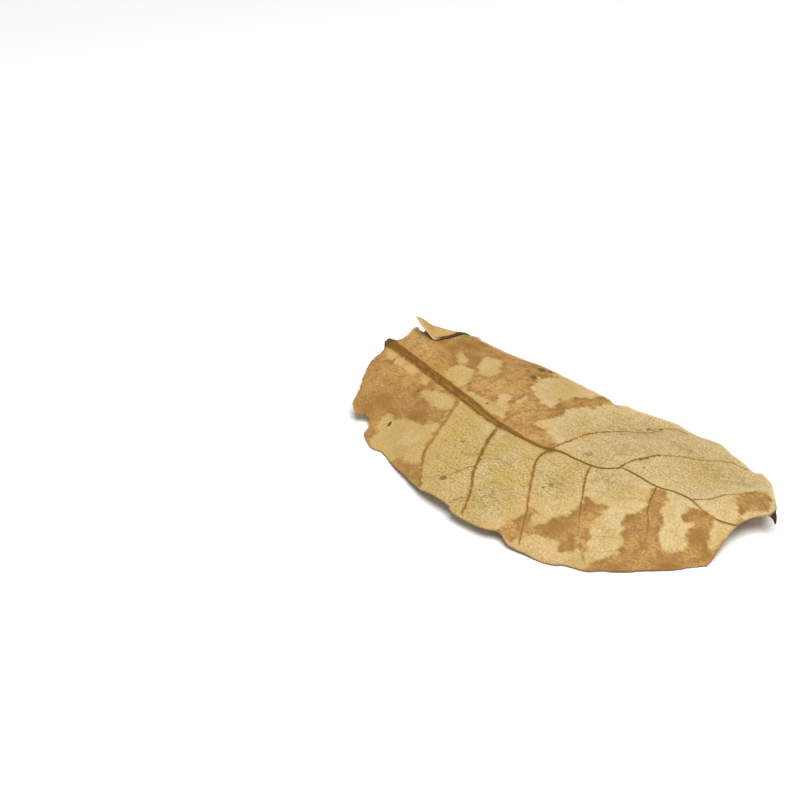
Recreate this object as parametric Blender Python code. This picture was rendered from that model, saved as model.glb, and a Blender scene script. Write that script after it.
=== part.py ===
"""A dried Indian almond leaf, lying loose on a table with its ribbed underside up.

The leaf is one piece: a thin blade that arches over its midrib, the midrib and the
side veins that stand out of it, a corner of the blade that is torn and folded back,
and the small curled drip tip. Its stalk is torn off, and the blade's base with it.

Along the leaf is X, from the torn base to the tip. Across it is Y, from the near
margin to the far one. The plan is drawn in millimetres with the blade pressed flat at
its two curls. The origin is under the middle of the leaf, on the table.
"""
import math

import bmesh
import bpy
import numpy as np
from mathutils.geometry import delaunay_2d_cdt

MM = 0.001

# Blade, in mm
BLADE_THICKNESS = 0.7
GRID_PITCH = 2.9
MARGIN_PITCH = 2.6
CURL_PITCH = 0.9
MARGIN_CLEARANCE = 1.5
RIB_CLEARANCE = 0.6
WELD = 0.05

# Arch of the blade, in mm: place along the leaf, then across and up for the near
# margin, the midrib and the far margin. It goes on past the margin up to REACH_LIMIT of
# the half width. Where it dips below zero the blade settles on the table, in a bend that
# starts at SETTLE over it. Below RIPPLE_LIFT the ripples of the margin die away.
STATIONS = [
    (-82, 9, 7.7, 16, 9.0, 26, 10.2),
    (-70, 0, 6.6, 13, 8.8, 29, 9.0),
    (-57, -15, 4.0, 10, 8.6, 33, 7.2),
    (-45, -24, -3.4, 7, 8.3, 36, 5.6),
    (-27, -32, 0.8, 1.5, 7.9, 39, 3.0),
    (-7, -38, 3.4, -2, 7.7, 40, 0.3),
    (8, -40, 2.8, -3, 7.6, 40, -3.4),
    (28, -38, -1.2, 2.5, 7.5, 39, 0.8),
    (48, -28, -3.0, 3, 7.1, 33, 2.4),
    (61, -15, -1.4, 11, 6.6, 28, 3.2),
    (73, -5, 1.4, 13, 5.9, 19, 4.2),
]
ARCH_POWER = 1.7
REACH_LIMIT = 1.35
SETTLE = 1.2
RIPPLE_HEIGHT = 0.5
RIPPLE_LENGTH = 23.0
RIPPLE_SLANT = 0.05
RIPPLE_LIFT = 3.0
TABLE_SNAP = 0.01

# Margin, in mm, in stretches that meet at corners
MIDRIB_STUB = [(-67.3, 14.6), (-68.6, 14), (-69.2, 12.2), (-68.8, 10.4), (-67.9, 9.3)]
TORN_BASE = [(-67.9, 9.3), (-66.7, 6.5), (-66.3, 1), (-63, -6.5), (-60.7, -10.5), (-58.4, -16.6)]
BASE_NOTCH = [(-58.4, -16.6), (-55.5, -18.3), (-53.4, -16.3), (-50.5, -18), (-49.4, -21.8)]
NEAR_MARGIN = [
    (-49.4, -21.8), (-47.5, -23.5), (-43, -26.2), (-39, -26.1), (-32, -29.4), (-27, -31.5),
    (-19, -35), (-15, -36.6), (-10, -37.7), (-4.5, -38.5), (-1.5, -40), (8.5, -40.4),
    (13.5, -38.8), (17.5, -40), (22.5, -39.6), (28.5, -39.2), (32, -38.1), (34, -36.6),
    (40, -34.9), (43, -32.2), (48, -28.8), (51.3, -25.2), (57, -20), (60.5, -15.5), (63.6, -12.2),
]
TIP_MARGIN = [(63.6, -12.2), (63.9, -8), (63.5, 0.3), (64.8, 6), (68, 10.4)]
DRIP_TIP = [(68, 10.4), (70, 10.2), (71.8, 9.6), (71.6, 10.2), (69.3, 12.8)]
FAR_MARGIN = [
    (69.3, 12.8), (67.7, 15.6), (65.3, 18.5), (61.5, 23.7), (58.6, 27.6), (54.6, 30.8), (52.8, 31.7),
    (51.3, 29.9), (48.5, 31.1), (42.3, 34.2), (38.4, 36.8), (34, 38.9), (27.5, 38.6), (21.8, 40.3),
    (18, 41.3), (11, 40.6), (4.8, 39.7), (1, 40.2), (-2.5, 38.1), (-5, 39), (-15, 38.6),
    (-22, 37.6), (-30, 37.2), (-36, 36.2), (-42.3, 34.2), (-49, 33.8), (-51.3, 34.6), (-53.6, 33.6),
]
TORN_CORNER = [
    (-64.4, 23.5), (-65.8, 23.8), (-67.4, 24.6), (-68, 23.7), (-67.4, 21), (-66.5, 17), (-67.3, 14.6),
]

# Folded corner, in mm: the crease runs from FOLD_START to FOLD_END, and the outline is
# measured along the crease and out from it. The corner rolls up and over the blade.
FOLD_START = (-64.4, 23.5)
FOLD_END = (-53.6, 33.6)
FOLD_OUTLINE = [
    (14.8, 0), (13, 2.3), (10.5, 4.3), (7.5, 6.6), (5, 8.6), (3, 10), (1, 8.4), (-1.5, 5.7),
    (0.4, 4.4), (1.5, 2.8), (1.2, 1.2), (0, 0),
]
FOLD_RADII = [(-1.5, 2.6), (3, 1.5), (7.5, 1.1), (14.8, 0.8)]
FOLD_TURN = math.radians(200)
FOLD_PITCH = 0.75

# Drip tip, in mm: it bends down from its root
TIP_ROOT = (68.9, 11.5)
TIP_DIRECTION = (0.85, -0.53)
TIP_RADIUS = 2.2

# Ribs, in mm: points across the plan, then widths and heights by place along the leaf
MIDRIB = [
    (-70.5, 12.4), (-57, 8.7), (-42, 5), (-28, 1.3), (-18, -1.9), (-10, -3.3), (2, -4.1), (8, -2.7),
    (18, -2.5), (22, -1.3), (25.5, 2), (32, 1.3), (38, 0.9), (43, 2), (48.3, 1.8), (53, 0.6),
    (58, 0.6), (62.6, 2.1),
]
MIDRIB_WIDTHS = [(-70, 3.7), (-28, 3.2), (-10, 2.5), (3, 1.9), (12, 1.3), (64, 0.9)]
MIDRIB_HEIGHTS = [(-70, 0.6), (-64, 0.9), (-28, 0.8), (-10, 0.6), (3, 0.4), (12, 0.3), (64, 0.2)]
SIDE_VEINS = [
    [(-33.5, 2.7), (-31, -2), (-28.5, -10.5), (-26.5, -19), (-25.3, -23), (-21, -29.7), (-17.5, -34.5)],
    [(-14, -3), (-12.7, -9), (-10.5, -15), (-6.5, -24.5), (-3, -30), (0.8, -38.5)],
    [(4.5, -3.7), (4.2, -9), (8.5, -17.5), (15, -28.5), (17.5, -33.5), (20, -38.3)],
    [(18, -2.5), (20, -8), (25.5, -17.5), (31.5, -26.5), (38.7, -33.2)],
    [(37.8, 0.9), (40.5, -7), (45.3, -14), (47.2, -19.5), (49.3, -25)],
    [(-35.5, 3.4), (-35, 10), (-33, 18.5), (-31.3, 25), (-30.2, 33), (-29.2, 35.8)],
    [(-14, -3), (-14.8, 3.5), (-13.8, 9.5), (-10.5, 14), (-7.5, 19), (-7, 24), (-7, 30), (-5.5, 36)],
    [(4.5, -3.7), (5.5, 4), (6.6, 14), (9.5, 21), (12, 26.5), (15.7, 30.5), (17.2, 36), (20, 38),
     (24.5, 36.8)],
    [(24.5, 1), (25, 6.5), (28, 14.5), (32, 19), (38, 22.8), (42, 26.8), (45, 28.9), (49.8, 28.9)],
    [(48.3, 1.8), (52.2, 5.5), (53.7, 10), (57.5, 15), (61.5, 20.5)],
    [(58.6, 16.3), (63, 14.4), (67.3, 11.3)],
]
SIDE_VEIN_WIDTHS = [(-40, 1.6), (10, 1.3), (50, 0.9)]
SIDE_VEIN_HEIGHTS = [(-40, 0.35), (10, 0.3), (50, 0.2)]
SIDE_VEIN_TAPER = 0.35
SIDE_VEIN_FADE = 0.125
RIB_PITCH = 2.3

# Lines of corners along the ribs, as shares of their width from the centre
SIDE_VEIN_LINES = (-0.5, 0.0, 0.5)
MIDRIB_LINES = (-0.5, -0.28, 0.0, 0.28, 0.5)

LEAF_COLOUR = (0.60, 0.41, 0.19, 1.0)
LEAF_ROUGHNESS = 0.72
SHARP_ANGLE = math.radians(40)


def curve(points, pitch):
    """A smooth curve through the points, as places about one pitch apart."""
    points = np.array(points, float)
    before = 2 * points[0] - points[1]
    after = 2 * points[-1] - points[-2]
    ends = np.vstack([before, points, after])
    slopes = (ends[2:] - ends[:-2]) / 2
    places = []
    for i in range(len(points) - 1):
        steps = max(1, round(np.linalg.norm(points[i + 1] - points[i]) / pitch))
        for t in np.arange(steps) / steps:
            places.append((1 + 2 * t) * (1 - t) ** 2 * points[i]
                          + t * (1 - t) ** 2 * slopes[i]
                          + t * t * (3 - 2 * t) * points[i + 1]
                          + t * t * (t - 1) * slopes[i + 1])
    places.append(points[-1])
    return np.array(places)


def through_stations(along, column):
    """One column of the stations, as a smooth line along the leaf."""
    table = np.array(STATIONS, float)
    places = table[:, 0]
    values = table[:, column]
    slopes = np.gradient(values, places)
    along = np.clip(along, places[0], places[-1])
    i = np.clip(np.searchsorted(places, along, side="right") - 1, 0, len(places) - 2)
    step = places[i + 1] - places[i]
    t = (along - places[i]) / step
    return ((1 + 2 * t) * (1 - t) ** 2 * values[i]
            + t * (1 - t) ** 2 * slopes[i] * step
            + t * t * (3 - 2 * t) * values[i + 1]
            + t * t * (t - 1) * slopes[i + 1] * step)


def arch(along, across):
    """Height of the blade over the table, without its curls."""
    near, near_up, middle, middle_up, far, far_up = [through_stations(along, c) for c in range(1, 7)]
    near_side = across < middle
    reach = np.where(near_side, (middle - across) / (middle - near), (across - middle) / (far - middle))
    reach = np.clip(reach, 0, REACH_LIMIT)
    edge_up = np.where(near_side, near_up, far_up)
    height = middle_up + (edge_up - middle_up) * reach ** ARCH_POWER
    wave = np.sin(2 * math.pi * along / RIPPLE_LENGTH + RIPPLE_SLANT * across)
    lift = np.clip(height / RIPPLE_LIFT, 0, 1)
    height = height + RIPPLE_HEIGHT * reach ** 3 * lift * wave
    settled = (height + np.sqrt(height ** 2 + SETTLE ** 2)) / 2 - SETTLE / 5
    return np.maximum(settled, 0)


def fold_frame():
    """Start of the crease, the direction along it and the direction out of the blade."""
    start = np.array(FOLD_START)
    along = np.array(FOLD_END) - start
    along /= np.linalg.norm(along)
    return start, along, np.array([-along[1], along[0]])


def fold_places(points):
    """Plan places of points measured along the crease and out from it."""
    start, along, out = fold_frame()
    return np.array([start + q * along + s * out for q, s in points])


def fold_over(x, y):
    """Place and height of a plan point, with the torn corner rolled over the blade."""
    start, along, out = fold_frame()
    offset = np.array([x, y]) - start
    q = offset @ along
    s = offset @ out
    radius = np.interp(q, *zip(*FOLD_RADII))
    turn = min(s / radius, FOLD_TURN)
    straight = s - radius * turn
    foot = start + q * along
    reach = radius * math.sin(turn) + straight * math.cos(turn)
    rise = radius * (1 - math.cos(turn)) + straight * math.sin(turn)
    place = foot + reach * out
    under = foot + min(reach, 0) * out
    return place[0], place[1], float(arch(under[0], under[1])) + rise


def tip_reach(x, y):
    """How far a plan point lies past the root of the drip tip."""
    direction = np.array(TIP_DIRECTION) / np.linalg.norm(TIP_DIRECTION)
    return (np.array([x, y]) - np.array(TIP_ROOT)) @ direction, direction


def bend_tip(x, y):
    """Place and height of a plan point of the drip tip, bent down from its root."""
    reach, direction = tip_reach(x, y)
    turn = reach / TIP_RADIUS
    foot = np.array([x, y]) - reach * direction
    place = foot + TIP_RADIUS * math.sin(turn) * direction
    drop = TIP_RADIUS * (1 - math.cos(turn))
    return place[0], place[1], float(arch(foot[0], foot[1])) - drop


def inside(points, outline):
    """Which points lie inside a closed outline."""
    x, y = points[:, 0], points[:, 1]
    result = np.zeros(len(points), bool)
    for (x0, y0), (x1, y1) in zip(outline, np.roll(outline, -1, axis=0)):
        crosses = (y0 > y) != (y1 > y)
        if y1 != y0:
            result ^= crosses & (x < (x1 - x0) * (y - y0) / (y1 - y0) + x0)
    return result


def distance_to(points, line):
    """Distance of each point to a line of places, and how far along the line it is."""
    best = np.full(len(points), np.inf)
    share = np.zeros(len(points))
    for i in range(len(line) - 1):
        run = line[i + 1] - line[i]
        t = np.clip(((points - line[i]) @ run) / (run @ run), 0, 1)
        gap = np.linalg.norm(points - (line[i] + t[:, None] * run), axis=1)
        closer = gap < best
        best = np.where(closer, gap, best)
        share = np.where(closer, (i + t) / (len(line) - 1), share)
    return best, share


def margin():
    """The closed outline of the flattened leaf, and the part of it round the folded corner."""
    corner = fold_places(curve(FOLD_OUTLINE, CURL_PITCH))
    outline = [curve(MIDRIB_STUB, CURL_PITCH)]
    outline += [curve(stretch, MARGIN_PITCH) for stretch in (TORN_BASE, BASE_NOTCH, NEAR_MARGIN, TIP_MARGIN)]
    outline.append(curve(DRIP_TIP, CURL_PITCH))
    outline.append(curve(FAR_MARGIN, MARGIN_PITCH))
    outline.append(corner)
    outline.append(curve(TORN_CORNER, MARGIN_PITCH))
    return np.vstack([stretch[:-1] for stretch in outline]), corner


def rib_sizes(along_rib, x, is_midrib):
    """Width and height of a rib."""
    if is_midrib:
        return np.interp(x, *zip(*MIDRIB_WIDTHS)), np.interp(x, *zip(*MIDRIB_HEIGHTS))
    taper = 1 - SIDE_VEIN_TAPER * along_rib
    return np.interp(x, *zip(*SIDE_VEIN_WIDTHS)) * taper, np.interp(x, *zip(*SIDE_VEIN_HEIGHTS)) * taper


def ribs():
    """Centre line of each rib, with the midrib first."""
    return [curve(points, RIB_PITCH) for points in [MIDRIB] + SIDE_VEINS]


def rib_rise(points, lines):
    """How far the ribs stand out of the blade at each plan point."""
    rise = np.zeros(len(points))
    for number, line in enumerate(lines):
        gap, share = distance_to(points, line)
        width, height = rib_sizes(share, points[:, 0], number == 0)
        side = np.clip(1 - (2 * gap / width) ** 2, 0, 1)
        fade = np.clip((1 - share) / SIDE_VEIN_FADE, 0, 1) if number else 1.0
        rise = np.maximum(rise, height * np.sqrt(side) * fade)
    return rise


def rib_lines(lines):
    """Lines along the crest and the feet of each rib, as lists of places."""
    result = []
    for number, line in enumerate(lines):
        ahead = np.gradient(line, axis=0)
        ahead /= np.linalg.norm(ahead, axis=1)[:, None]
        side = np.stack([-ahead[:, 1], ahead[:, 0]], axis=1)
        share = np.linspace(0, 1, len(line))
        width, _ = rib_sizes(share, line[:, 0], number == 0)
        for place in MIDRIB_LINES if number == 0 else SIDE_VEIN_LINES:
            result.append(line + side * (place * width)[:, None])
    return result


def plan_triangles():
    """Flat triangles that cover the leaf, with edges along its margin and its ribs."""
    outline, corner = margin()
    lines = rib_lines(ribs())
    points = [tuple(p) for p in outline]
    edges = [(i, (i + 1) % len(outline)) for i in range(len(outline))]
    fixed = [np.vstack([outline, outline[:1]])]
    for line in lines:
        away, _ = distance_to(line, fixed[0])
        line = line[inside(line, outline) & (away > RIB_CLEARANCE)]
        if len(line) < 2:
            continue
        edges += [(len(points) + i, len(points) + i + 1) for i in range(len(line) - 1)]
        points += [tuple(p) for p in line]
        fixed.append(line)

    (left, front), (right, back) = outline.min(axis=0), outline.max(axis=0)
    rows = np.arange(front, back, GRID_PITCH * math.sqrt(3) / 2)
    grid = np.array([(x + (i % 2) * GRID_PITCH / 2, y)
                     for i, y in enumerate(rows) for x in np.arange(left, right, GRID_PITCH)])
    filler = grid[inside(grid, outline) & ~inside(grid, corner)]
    for line in fixed:
        filler = filler[distance_to(filler, line)[0] > MARGIN_CLEARANCE]
    (left, front), (right, back) = np.min(FOLD_OUTLINE, axis=0), np.max(FOLD_OUTLINE, axis=0)
    fold = fold_places([(q, s) for s in np.arange(front, back, FOLD_PITCH)
                        for q in np.arange(left, right, CURL_PITCH)])
    fold = fold[inside(fold, corner) & (distance_to(fold, fixed[0])[0] > FOLD_PITCH / 2)]
    points += [tuple(p) for p in filler] + [tuple(p) for p in fold]

    places, _, triangles, *_ = delaunay_2d_cdt(points, edges, [], 0, WELD, False)
    places = np.array([tuple(p) for p in places])
    middles = np.array([places[list(t)].mean(axis=0) for t in triangles])
    triangles = [list(t) for t, keep in zip(triangles, inside(middles, outline)) if keep]
    return places, triangles, corner


def raise_blade(places, corner):
    """Middle surface of the blade, from its plan places."""
    surface = np.column_stack([places, arch(places[:, 0], places[:, 1])])
    folded = inside(places, corner) | (distance_to(places, corner)[0] < WELD)
    tip_start = min(x for x, y in DRIP_TIP)
    for i, (x, y) in enumerate(places):
        if folded[i]:
            surface[i] = fold_over(x, y)
        elif x > tip_start and tip_reach(x, y)[0] > 0:
            surface[i] = bend_tip(x, y)
    surface[:, 2] += BLADE_THICKNESS / 2
    return surface


def vertex_normals(surface, triangles):
    """Unit normals of the middle surface, pointing up from the table."""
    normals = np.zeros_like(surface)
    for a, b, c in triangles:
        normal = np.cross(surface[b] - surface[a], surface[c] - surface[a])
        normals[[a, b, c]] += normal
    return normals / np.linalg.norm(normals, axis=1)[:, None]


def leaf_mesh():
    """The leaf as one closed mesh in metres, with its box centred on the origin."""
    places, triangles, corner = plan_triangles()
    for triangle in triangles:
        (ax, ay), (bx, by), (cx, cy) = places[triangle]
        if (bx - ax) * (cy - ay) - (by - ay) * (cx - ax) < 0:
            triangle.reverse()
    surface = raise_blade(places, corner)
    normals = vertex_normals(surface, triangles)
    rise = rib_rise(places, ribs())
    top = surface + normals * (BLADE_THICKNESS / 2 + rise)[:, None]
    bottom = surface - normals * BLADE_THICKNESS / 2
    bottom[bottom[:, 2] < TABLE_SNAP, 2] = 0
    middle = (top.max(axis=0) + top.min(axis=0)) / 2
    middle[2] = 0

    bm = bmesh.new()
    upper = [bm.verts.new((p - middle) * MM) for p in top]
    lower = [bm.verts.new((p - middle) * MM) for p in bottom]
    rim = {}
    for a, b, c in triangles:
        bm.faces.new((upper[a], upper[b], upper[c]))
        bm.faces.new((lower[c], lower[b], lower[a]))
        for edge in ((a, b), (b, c), (c, a)):
            if edge[::-1] in rim:
                del rim[edge[::-1]]
            else:
                rim[edge] = True
    for a, b in rim:
        bm.faces.new((upper[b], upper[a], lower[a]))
        bm.faces.new((upper[b], lower[a], lower[b]))
    mesh = bpy.data.meshes.new("leaf")
    bm.to_mesh(mesh)
    bm.free()
    mesh.shade_smooth()
    mesh.set_sharp_from_angle(angle=SHARP_ANGLE)
    return mesh


def leaf_material():
    """Dry straw-coloured leaf."""
    material = bpy.data.materials.new("dry_leaf")
    material.use_nodes = True
    shader = material.node_tree.nodes["Principled BSDF"]
    shader.inputs["Base Color"].default_value = LEAF_COLOUR
    shader.inputs["Roughness"].default_value = LEAF_ROUGHNESS
    shader.inputs["Metallic"].default_value = 0.0
    return material


def main():
    for thing in list(bpy.data.objects):
        bpy.data.objects.remove(thing, do_unlink=True)
    mesh = leaf_mesh()
    mesh.materials.append(leaf_material())
    leaf = bpy.data.objects.new("leaf", mesh)
    bpy.context.scene.collection.objects.link(leaf)


main()
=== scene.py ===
"""Looks of a dried Indian almond leaf that lies loose with its ribbed underside up.

The leaf is one piece. Its plan is drawn in millimetres: along the leaf is X, from the torn
base to the tip, and across it is Y, from the near margin to the far one. The plan is cut
into small triangles, which follow the margin and the ribs. It is then raised over its
arch, its torn corner is folded back and its drip tip is bent down. Every corner of the
mesh keeps how far it lies from the ribs, the blotches and the margin, and the material
paints the leaf from those distances.
"""

import math
from typing import NamedTuple

import bpy
import numpy as np
from bpy.props import FloatProperty, FloatVectorProperty, PointerProperty
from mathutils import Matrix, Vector, kdtree, noise
from mathutils.geometry import delaunay_2d_cdt


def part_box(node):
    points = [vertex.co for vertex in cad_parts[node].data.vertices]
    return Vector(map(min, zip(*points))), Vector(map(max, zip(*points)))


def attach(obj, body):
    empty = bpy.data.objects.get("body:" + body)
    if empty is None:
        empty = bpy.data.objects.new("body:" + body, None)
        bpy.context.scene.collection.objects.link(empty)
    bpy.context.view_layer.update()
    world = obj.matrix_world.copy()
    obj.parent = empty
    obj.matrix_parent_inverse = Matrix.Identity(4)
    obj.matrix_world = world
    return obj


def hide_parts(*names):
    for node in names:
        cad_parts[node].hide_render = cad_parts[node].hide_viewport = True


bl_info = {
    "name": "Dry leaf",
    "version": (1, 0, 0),
    "blender": (4, 5, 0),
    "location": "View3D > Sidebar > Dry leaf",
    "description": "Builds a dried Indian almond leaf and a pale stage round it",
    "category": "Add Mesh",
}

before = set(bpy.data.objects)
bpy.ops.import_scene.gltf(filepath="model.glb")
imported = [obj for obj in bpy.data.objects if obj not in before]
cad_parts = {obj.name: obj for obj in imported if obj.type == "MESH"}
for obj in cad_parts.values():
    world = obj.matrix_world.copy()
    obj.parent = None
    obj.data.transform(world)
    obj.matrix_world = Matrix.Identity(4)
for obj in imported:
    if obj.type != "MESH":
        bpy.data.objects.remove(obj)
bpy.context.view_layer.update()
LEAF_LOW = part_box("leaf")[0]
MM = 0.001


def paint(red, green, blue):
    """A colour in the scene's own light, from screen values between 0 and 255."""
    channels = [c / 255 for c in (red, green, blue)]
    return tuple(c / 12.92 if c <= 0.04045 else ((c + 0.055) / 1.055) ** 2.4 for c in channels)


# Arch of the blade, in mm: place along the leaf, then across and up for the near
# margin, the midrib and the far margin. Below zero the blade settles on the table.
STATIONS = [
    (-82, 9, 7.7, 16, 9.0, 26, 10.2),
    (-70, 0, 6.6, 13, 8.8, 29, 9.0),
    (-57, -15, 4.0, 10, 8.6, 33, 7.2),
    (-45, -24, -3.4, 7, 8.3, 36, 5.6),
    (-27, -32, 0.8, 1.5, 7.9, 39, 3.0),
    (-7, -38, 3.4, -2, 7.7, 40, 0.3),
    (8, -40, 2.8, -3, 7.6, 40, -3.4),
    (28, -38, -1.2, 2.5, 7.5, 39, 0.8),
    (48, -28, -3.0, 3, 7.1, 33, 2.4),
    (61, -15, -1.4, 11, 6.6, 28, 3.2),
    (73, -5, 1.4, 13, 5.9, 19, 4.2),
]
ARCH_POWER = 1.7
REACH_LIMIT = 1.35  # how far past the margin the arch goes on, as a share of the half width
SETTLE = 1.2  # height at which the blade starts to settle
RIPPLE_HEIGHT = 0.5
RIPPLE_LENGTH = 23.0
RIPPLE_SLANT = 0.05
RIPPLE_LIFT = 3.0  # below this height the ripples die away

# Margin, in mm, in stretches that meet at corners
MIDRIB_STUB = [(-67.3, 14.6), (-68.6, 14), (-69.2, 12.2), (-68.8, 10.4), (-67.9, 9.3)]
TORN_BASE = [(-67.9, 9.3), (-66.7, 6.5), (-66.3, 1), (-63, -6.5), (-60.7, -10.5), (-58.4, -16.6)]
BASE_NOTCH = [(-58.4, -16.6), (-55.5, -18.3), (-53.4, -16.3), (-50.5, -18), (-49.4, -21.8)]
NEAR_MARGIN = [
    (-49.4, -21.8), (-47.5, -23.5), (-43, -26.2), (-39, -26.1), (-32, -29.4), (-27, -31.5),
    (-19, -35), (-15, -36.6), (-10, -37.7), (-4.5, -38.5), (-1.5, -40), (8.5, -40.4),
    (13.5, -38.8), (17.5, -40), (22.5, -39.6), (28.5, -39.2), (32, -38.1), (34, -36.6),
    (40, -34.9), (43, -32.2), (48, -28.8), (51.3, -25.2), (57, -20), (60.4, -15.4), (63.4, -12),
]
TIP_MARGIN = [(63.4, -12), (63.2, -7.8), (62.9, 0.5), (64.4, 6.4), (67.3, 10.8)]
DRIP_TIP = [(67.3, 10.8), (69.2, 10.6), (70.4, 10.2), (70.3, 10.8), (68.5, 13.1)]
FAR_MARGIN = [
    (68.5, 13.1), (67.1, 15.8), (65, 18.6), (61.5, 23.7), (58.6, 27.6), (54.6, 30.8), (52.8, 31.7),
    (51.3, 29.9), (48.5, 31.1), (42.3, 34.2), (38.4, 36.8), (34, 38.9), (27.5, 38.6), (21.8, 40.3),
    (18, 41.3), (11, 40.6), (4.8, 39.7), (1, 40.2), (-2.5, 38.1), (-5, 39), (-15, 38.6),
    (-22, 37.6), (-30, 37.2), (-36, 36.2), (-42.3, 34.2), (-49, 33.8), (-51.3, 34.6), (-53.6, 33.6),
]
TORN_CORNER = [
    (-64.4, 23.5), (-65.8, 23.8), (-67.4, 24.6), (-68, 23.7), (-67.4, 21), (-66.5, 17), (-67.3, 14.6),
]
PINHOLE = (-45.0, -15.2)
PINHOLE_RADII = (0.5, 0.9)
PINHOLE_CORNERS = 16
PINHOLE_LIP = 0.15
PINHOLE_LIP_RADIUS = 0.7
PINHOLE_LIP_SPREAD = 0.3

# Random shifts of drawn lines: size in mm, scale, and a seed that sets each apart
PINHOLE_WAVER = (0.15, 1.1, 3.0)
VEIN_WAVER = (0.22, 0.45, 9.0)

# How far each stretch of margin strays from its smooth line, in mm, and the scales of
# that noise
STUB_TEAR = 0.35
BASE_TEAR = 0.3
NOTCH_TEAR = 0.4
MARGIN_WOBBLE = 0.14
TIP_WOBBLE = 0.1
DRIP_TIP_WOBBLE = 0.05
FOLD_WOBBLE = 0.12
WOBBLE_SCALE = 0.9
FINE_WOBBLE_SCALE = 2.3
FINE_WOBBLE_SEED = 5.0

# Folded corner, in mm: the crease runs from FOLD_START to FOLD_END, and the outline is
# measured along the crease and out from it. The corner rolls up and over the blade, round
# a radius that is given by place along the crease.
FOLD_START = (-64.4, 23.5)
FOLD_END = (-53.6, 33.6)
FOLD_OUTLINE = [
    (14.8, 0), (13, 2.4), (10.5, 4.5), (7.5, 7), (5, 9), (3.3, 10.2), (2, 10.5), (0.6, 10.5),
    (-0.4, 10.6), (-1.2, 10), (-1.9, 7.2), (0.4, 5), (1.6, 3), (1.2, 1.2), (0, 0),
]
FOLD_RADII = [(-1.9, 2.8), (0, 2.45), (3, 1.5), (7.5, 1.1), (14.8, 0.8)]
FOLD_TURN = math.radians(200)

# Drip tip, in mm: it bends down from its root
TIP_ROOT = (68.1, 11.9)
TIP_DIRECTION = (0.85, -0.53)
TIP_RADIUS = 2.2


class Vein(NamedTuple):
    """A side vein: how it is painted, then points across the plan in mm."""

    tones: tuple  # at its root and at its end: olive at 0, golden at 0.5, red-brown at 1
    plain: float  # how strongly it stands out in colour
    spread: float  # width of its colour as a share of the width of its ridge
    holds: float  # share of its length over which it stays plain
    points: list


# Ribs, in mm: the midrib's line, then its widths, heights and painting by place along the
# leaf, and the side veins from the base to the tip
MIDRIB = [
    (-70.5, 12.4), (-57, 8.7), (-42, 5), (-28, 1.3), (-18, -1.9), (-10, -3.3), (2, -4.1), (8, -2.7),
    (18, -2.5), (22, -1.3), (25.5, 2), (32, 1.3), (38, 0.9), (43, 2), (48.3, 1.8), (53, 0.6),
    (58, 0.6), (62.6, 2.1),
]
MIDRIB_WIDTHS = [(-70, 3.7), (-28, 3.2), (-10, 2.5), (3, 1.9), (12, 1.3), (64, 0.9)]
MIDRIB_HEIGHTS = [(-70, 0.6), (-64, 0.9), (-28, 0.8), (-10, 0.6), (3, 0.4), (12, 0.3), (64, 0.2)]
MIDRIB_PAINT_WIDTHS = [
    (-70, 3.7), (-28, 3.3), (-15, 2.5), (-10, 1.9), (-4, 1.5), (3, 1.3), (8, 0.95), (14, 0.75),
    (64, 0.5),
]
MIDRIB_PLAIN = [
    (-70, 1), (23.5, 1), (25, 0.4), (27, 0.95), (47, 0.95), (51, 0.7), (56, 0.45), (58, 1), (64, 1),
]
NEAR_VEINS = [
    Vein((0.5, 0.5), 0.8, 0.9, 1.0, [
        (-33.5, 2.7), (-31, -2), (-28.5, -10.5), (-26.5, -19), (-25.3, -23), (-21, -29.7), (-17.5, -34.5)]),
    Vein((0.1, 0.35), 0.95, 0.95, 1.0, [
        (-14, -3), (-12.7, -9), (-10.5, -15), (-6.5, -24.5), (-3, -30), (0.8, -38.5)]),
    Vein((0.1, 1.0), 1.0, 0.7, 0.95, [
        (4.5, -3.7), (4.2, -9), (8.5, -17.5), (15, -28.5), (17.5, -33.5), (20, -38.3)]),
    Vein((0.2, 0.5), 1.0, 0.55, 0.5, [
        (18, -2.5), (20, -8), (25.5, -17.5), (31.5, -26.5), (38.7, -33.2)]),
    Vein((0.2, 0.6), 0.9, 0.6, 0.55, [
        (37.8, 0.9), (40.5, -7), (45.3, -14), (47.2, -19.5), (49.3, -25)]),
]
FAR_VEINS = [
    Vein((0.5, 0.6), 0.5, 0.9, 0.5, [
        (-35.5, 3.4), (-35, 10), (-33, 18.5), (-31.3, 25), (-30.2, 33), (-29.2, 35.8)]),
    Vein((0.6, 0.6), 0.6, 0.9, 0.9, [
        (-14, -3), (-14.8, 3.5), (-13.8, 9.5), (-10.5, 14), (-7.5, 19), (-7, 24), (-7, 30), (-5.5, 36)]),
    Vein((0.3, 0.4), 0.95, 0.75, 1.0, [
        (4.5, -3.7), (5.5, 4), (6.6, 14), (9.5, 21), (12, 26.5), (15.7, 30.5), (17.2, 36), (20, 38),
        (24.5, 36.8)]),
    Vein((0.2, 0.4), 0.95, 0.75, 1.0, [
        (24.5, 1), (25, 6.5), (28, 14.5), (32, 19), (38, 22.8), (42, 26.8), (45, 28.9), (49.8, 28.9)]),
    Vein((0.1, 0.4), 0.9, 0.6, 0.65, [
        (48.3, 1.8), (52.2, 5.5), (53.7, 10), (57.5, 15), (61.5, 20.5)]),
    Vein((0.5, 0.3), 0.8, 0.6, 1.0, [
        (58.6, 16.3), (63, 14.4), (66.8, 11.8)]),
]
SIDE_VEIN_WIDTHS = [(-40, 1.6), (10, 1.3), (50, 0.9)]
SIDE_VEIN_HEIGHTS = [(-40, 0.35), (10, 0.3), (50, 0.2)]
SIDE_VEIN_TAPER = 0.35
SIDE_VEIN_FADE = 0.125  # share of its length over which its ridge dies away at the end
SIDE_VEIN_DIMMING = 6  # how fast a side vein grows faint once it no longer stays plain
SIDE_VEIN_TRACE = 0.3
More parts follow.
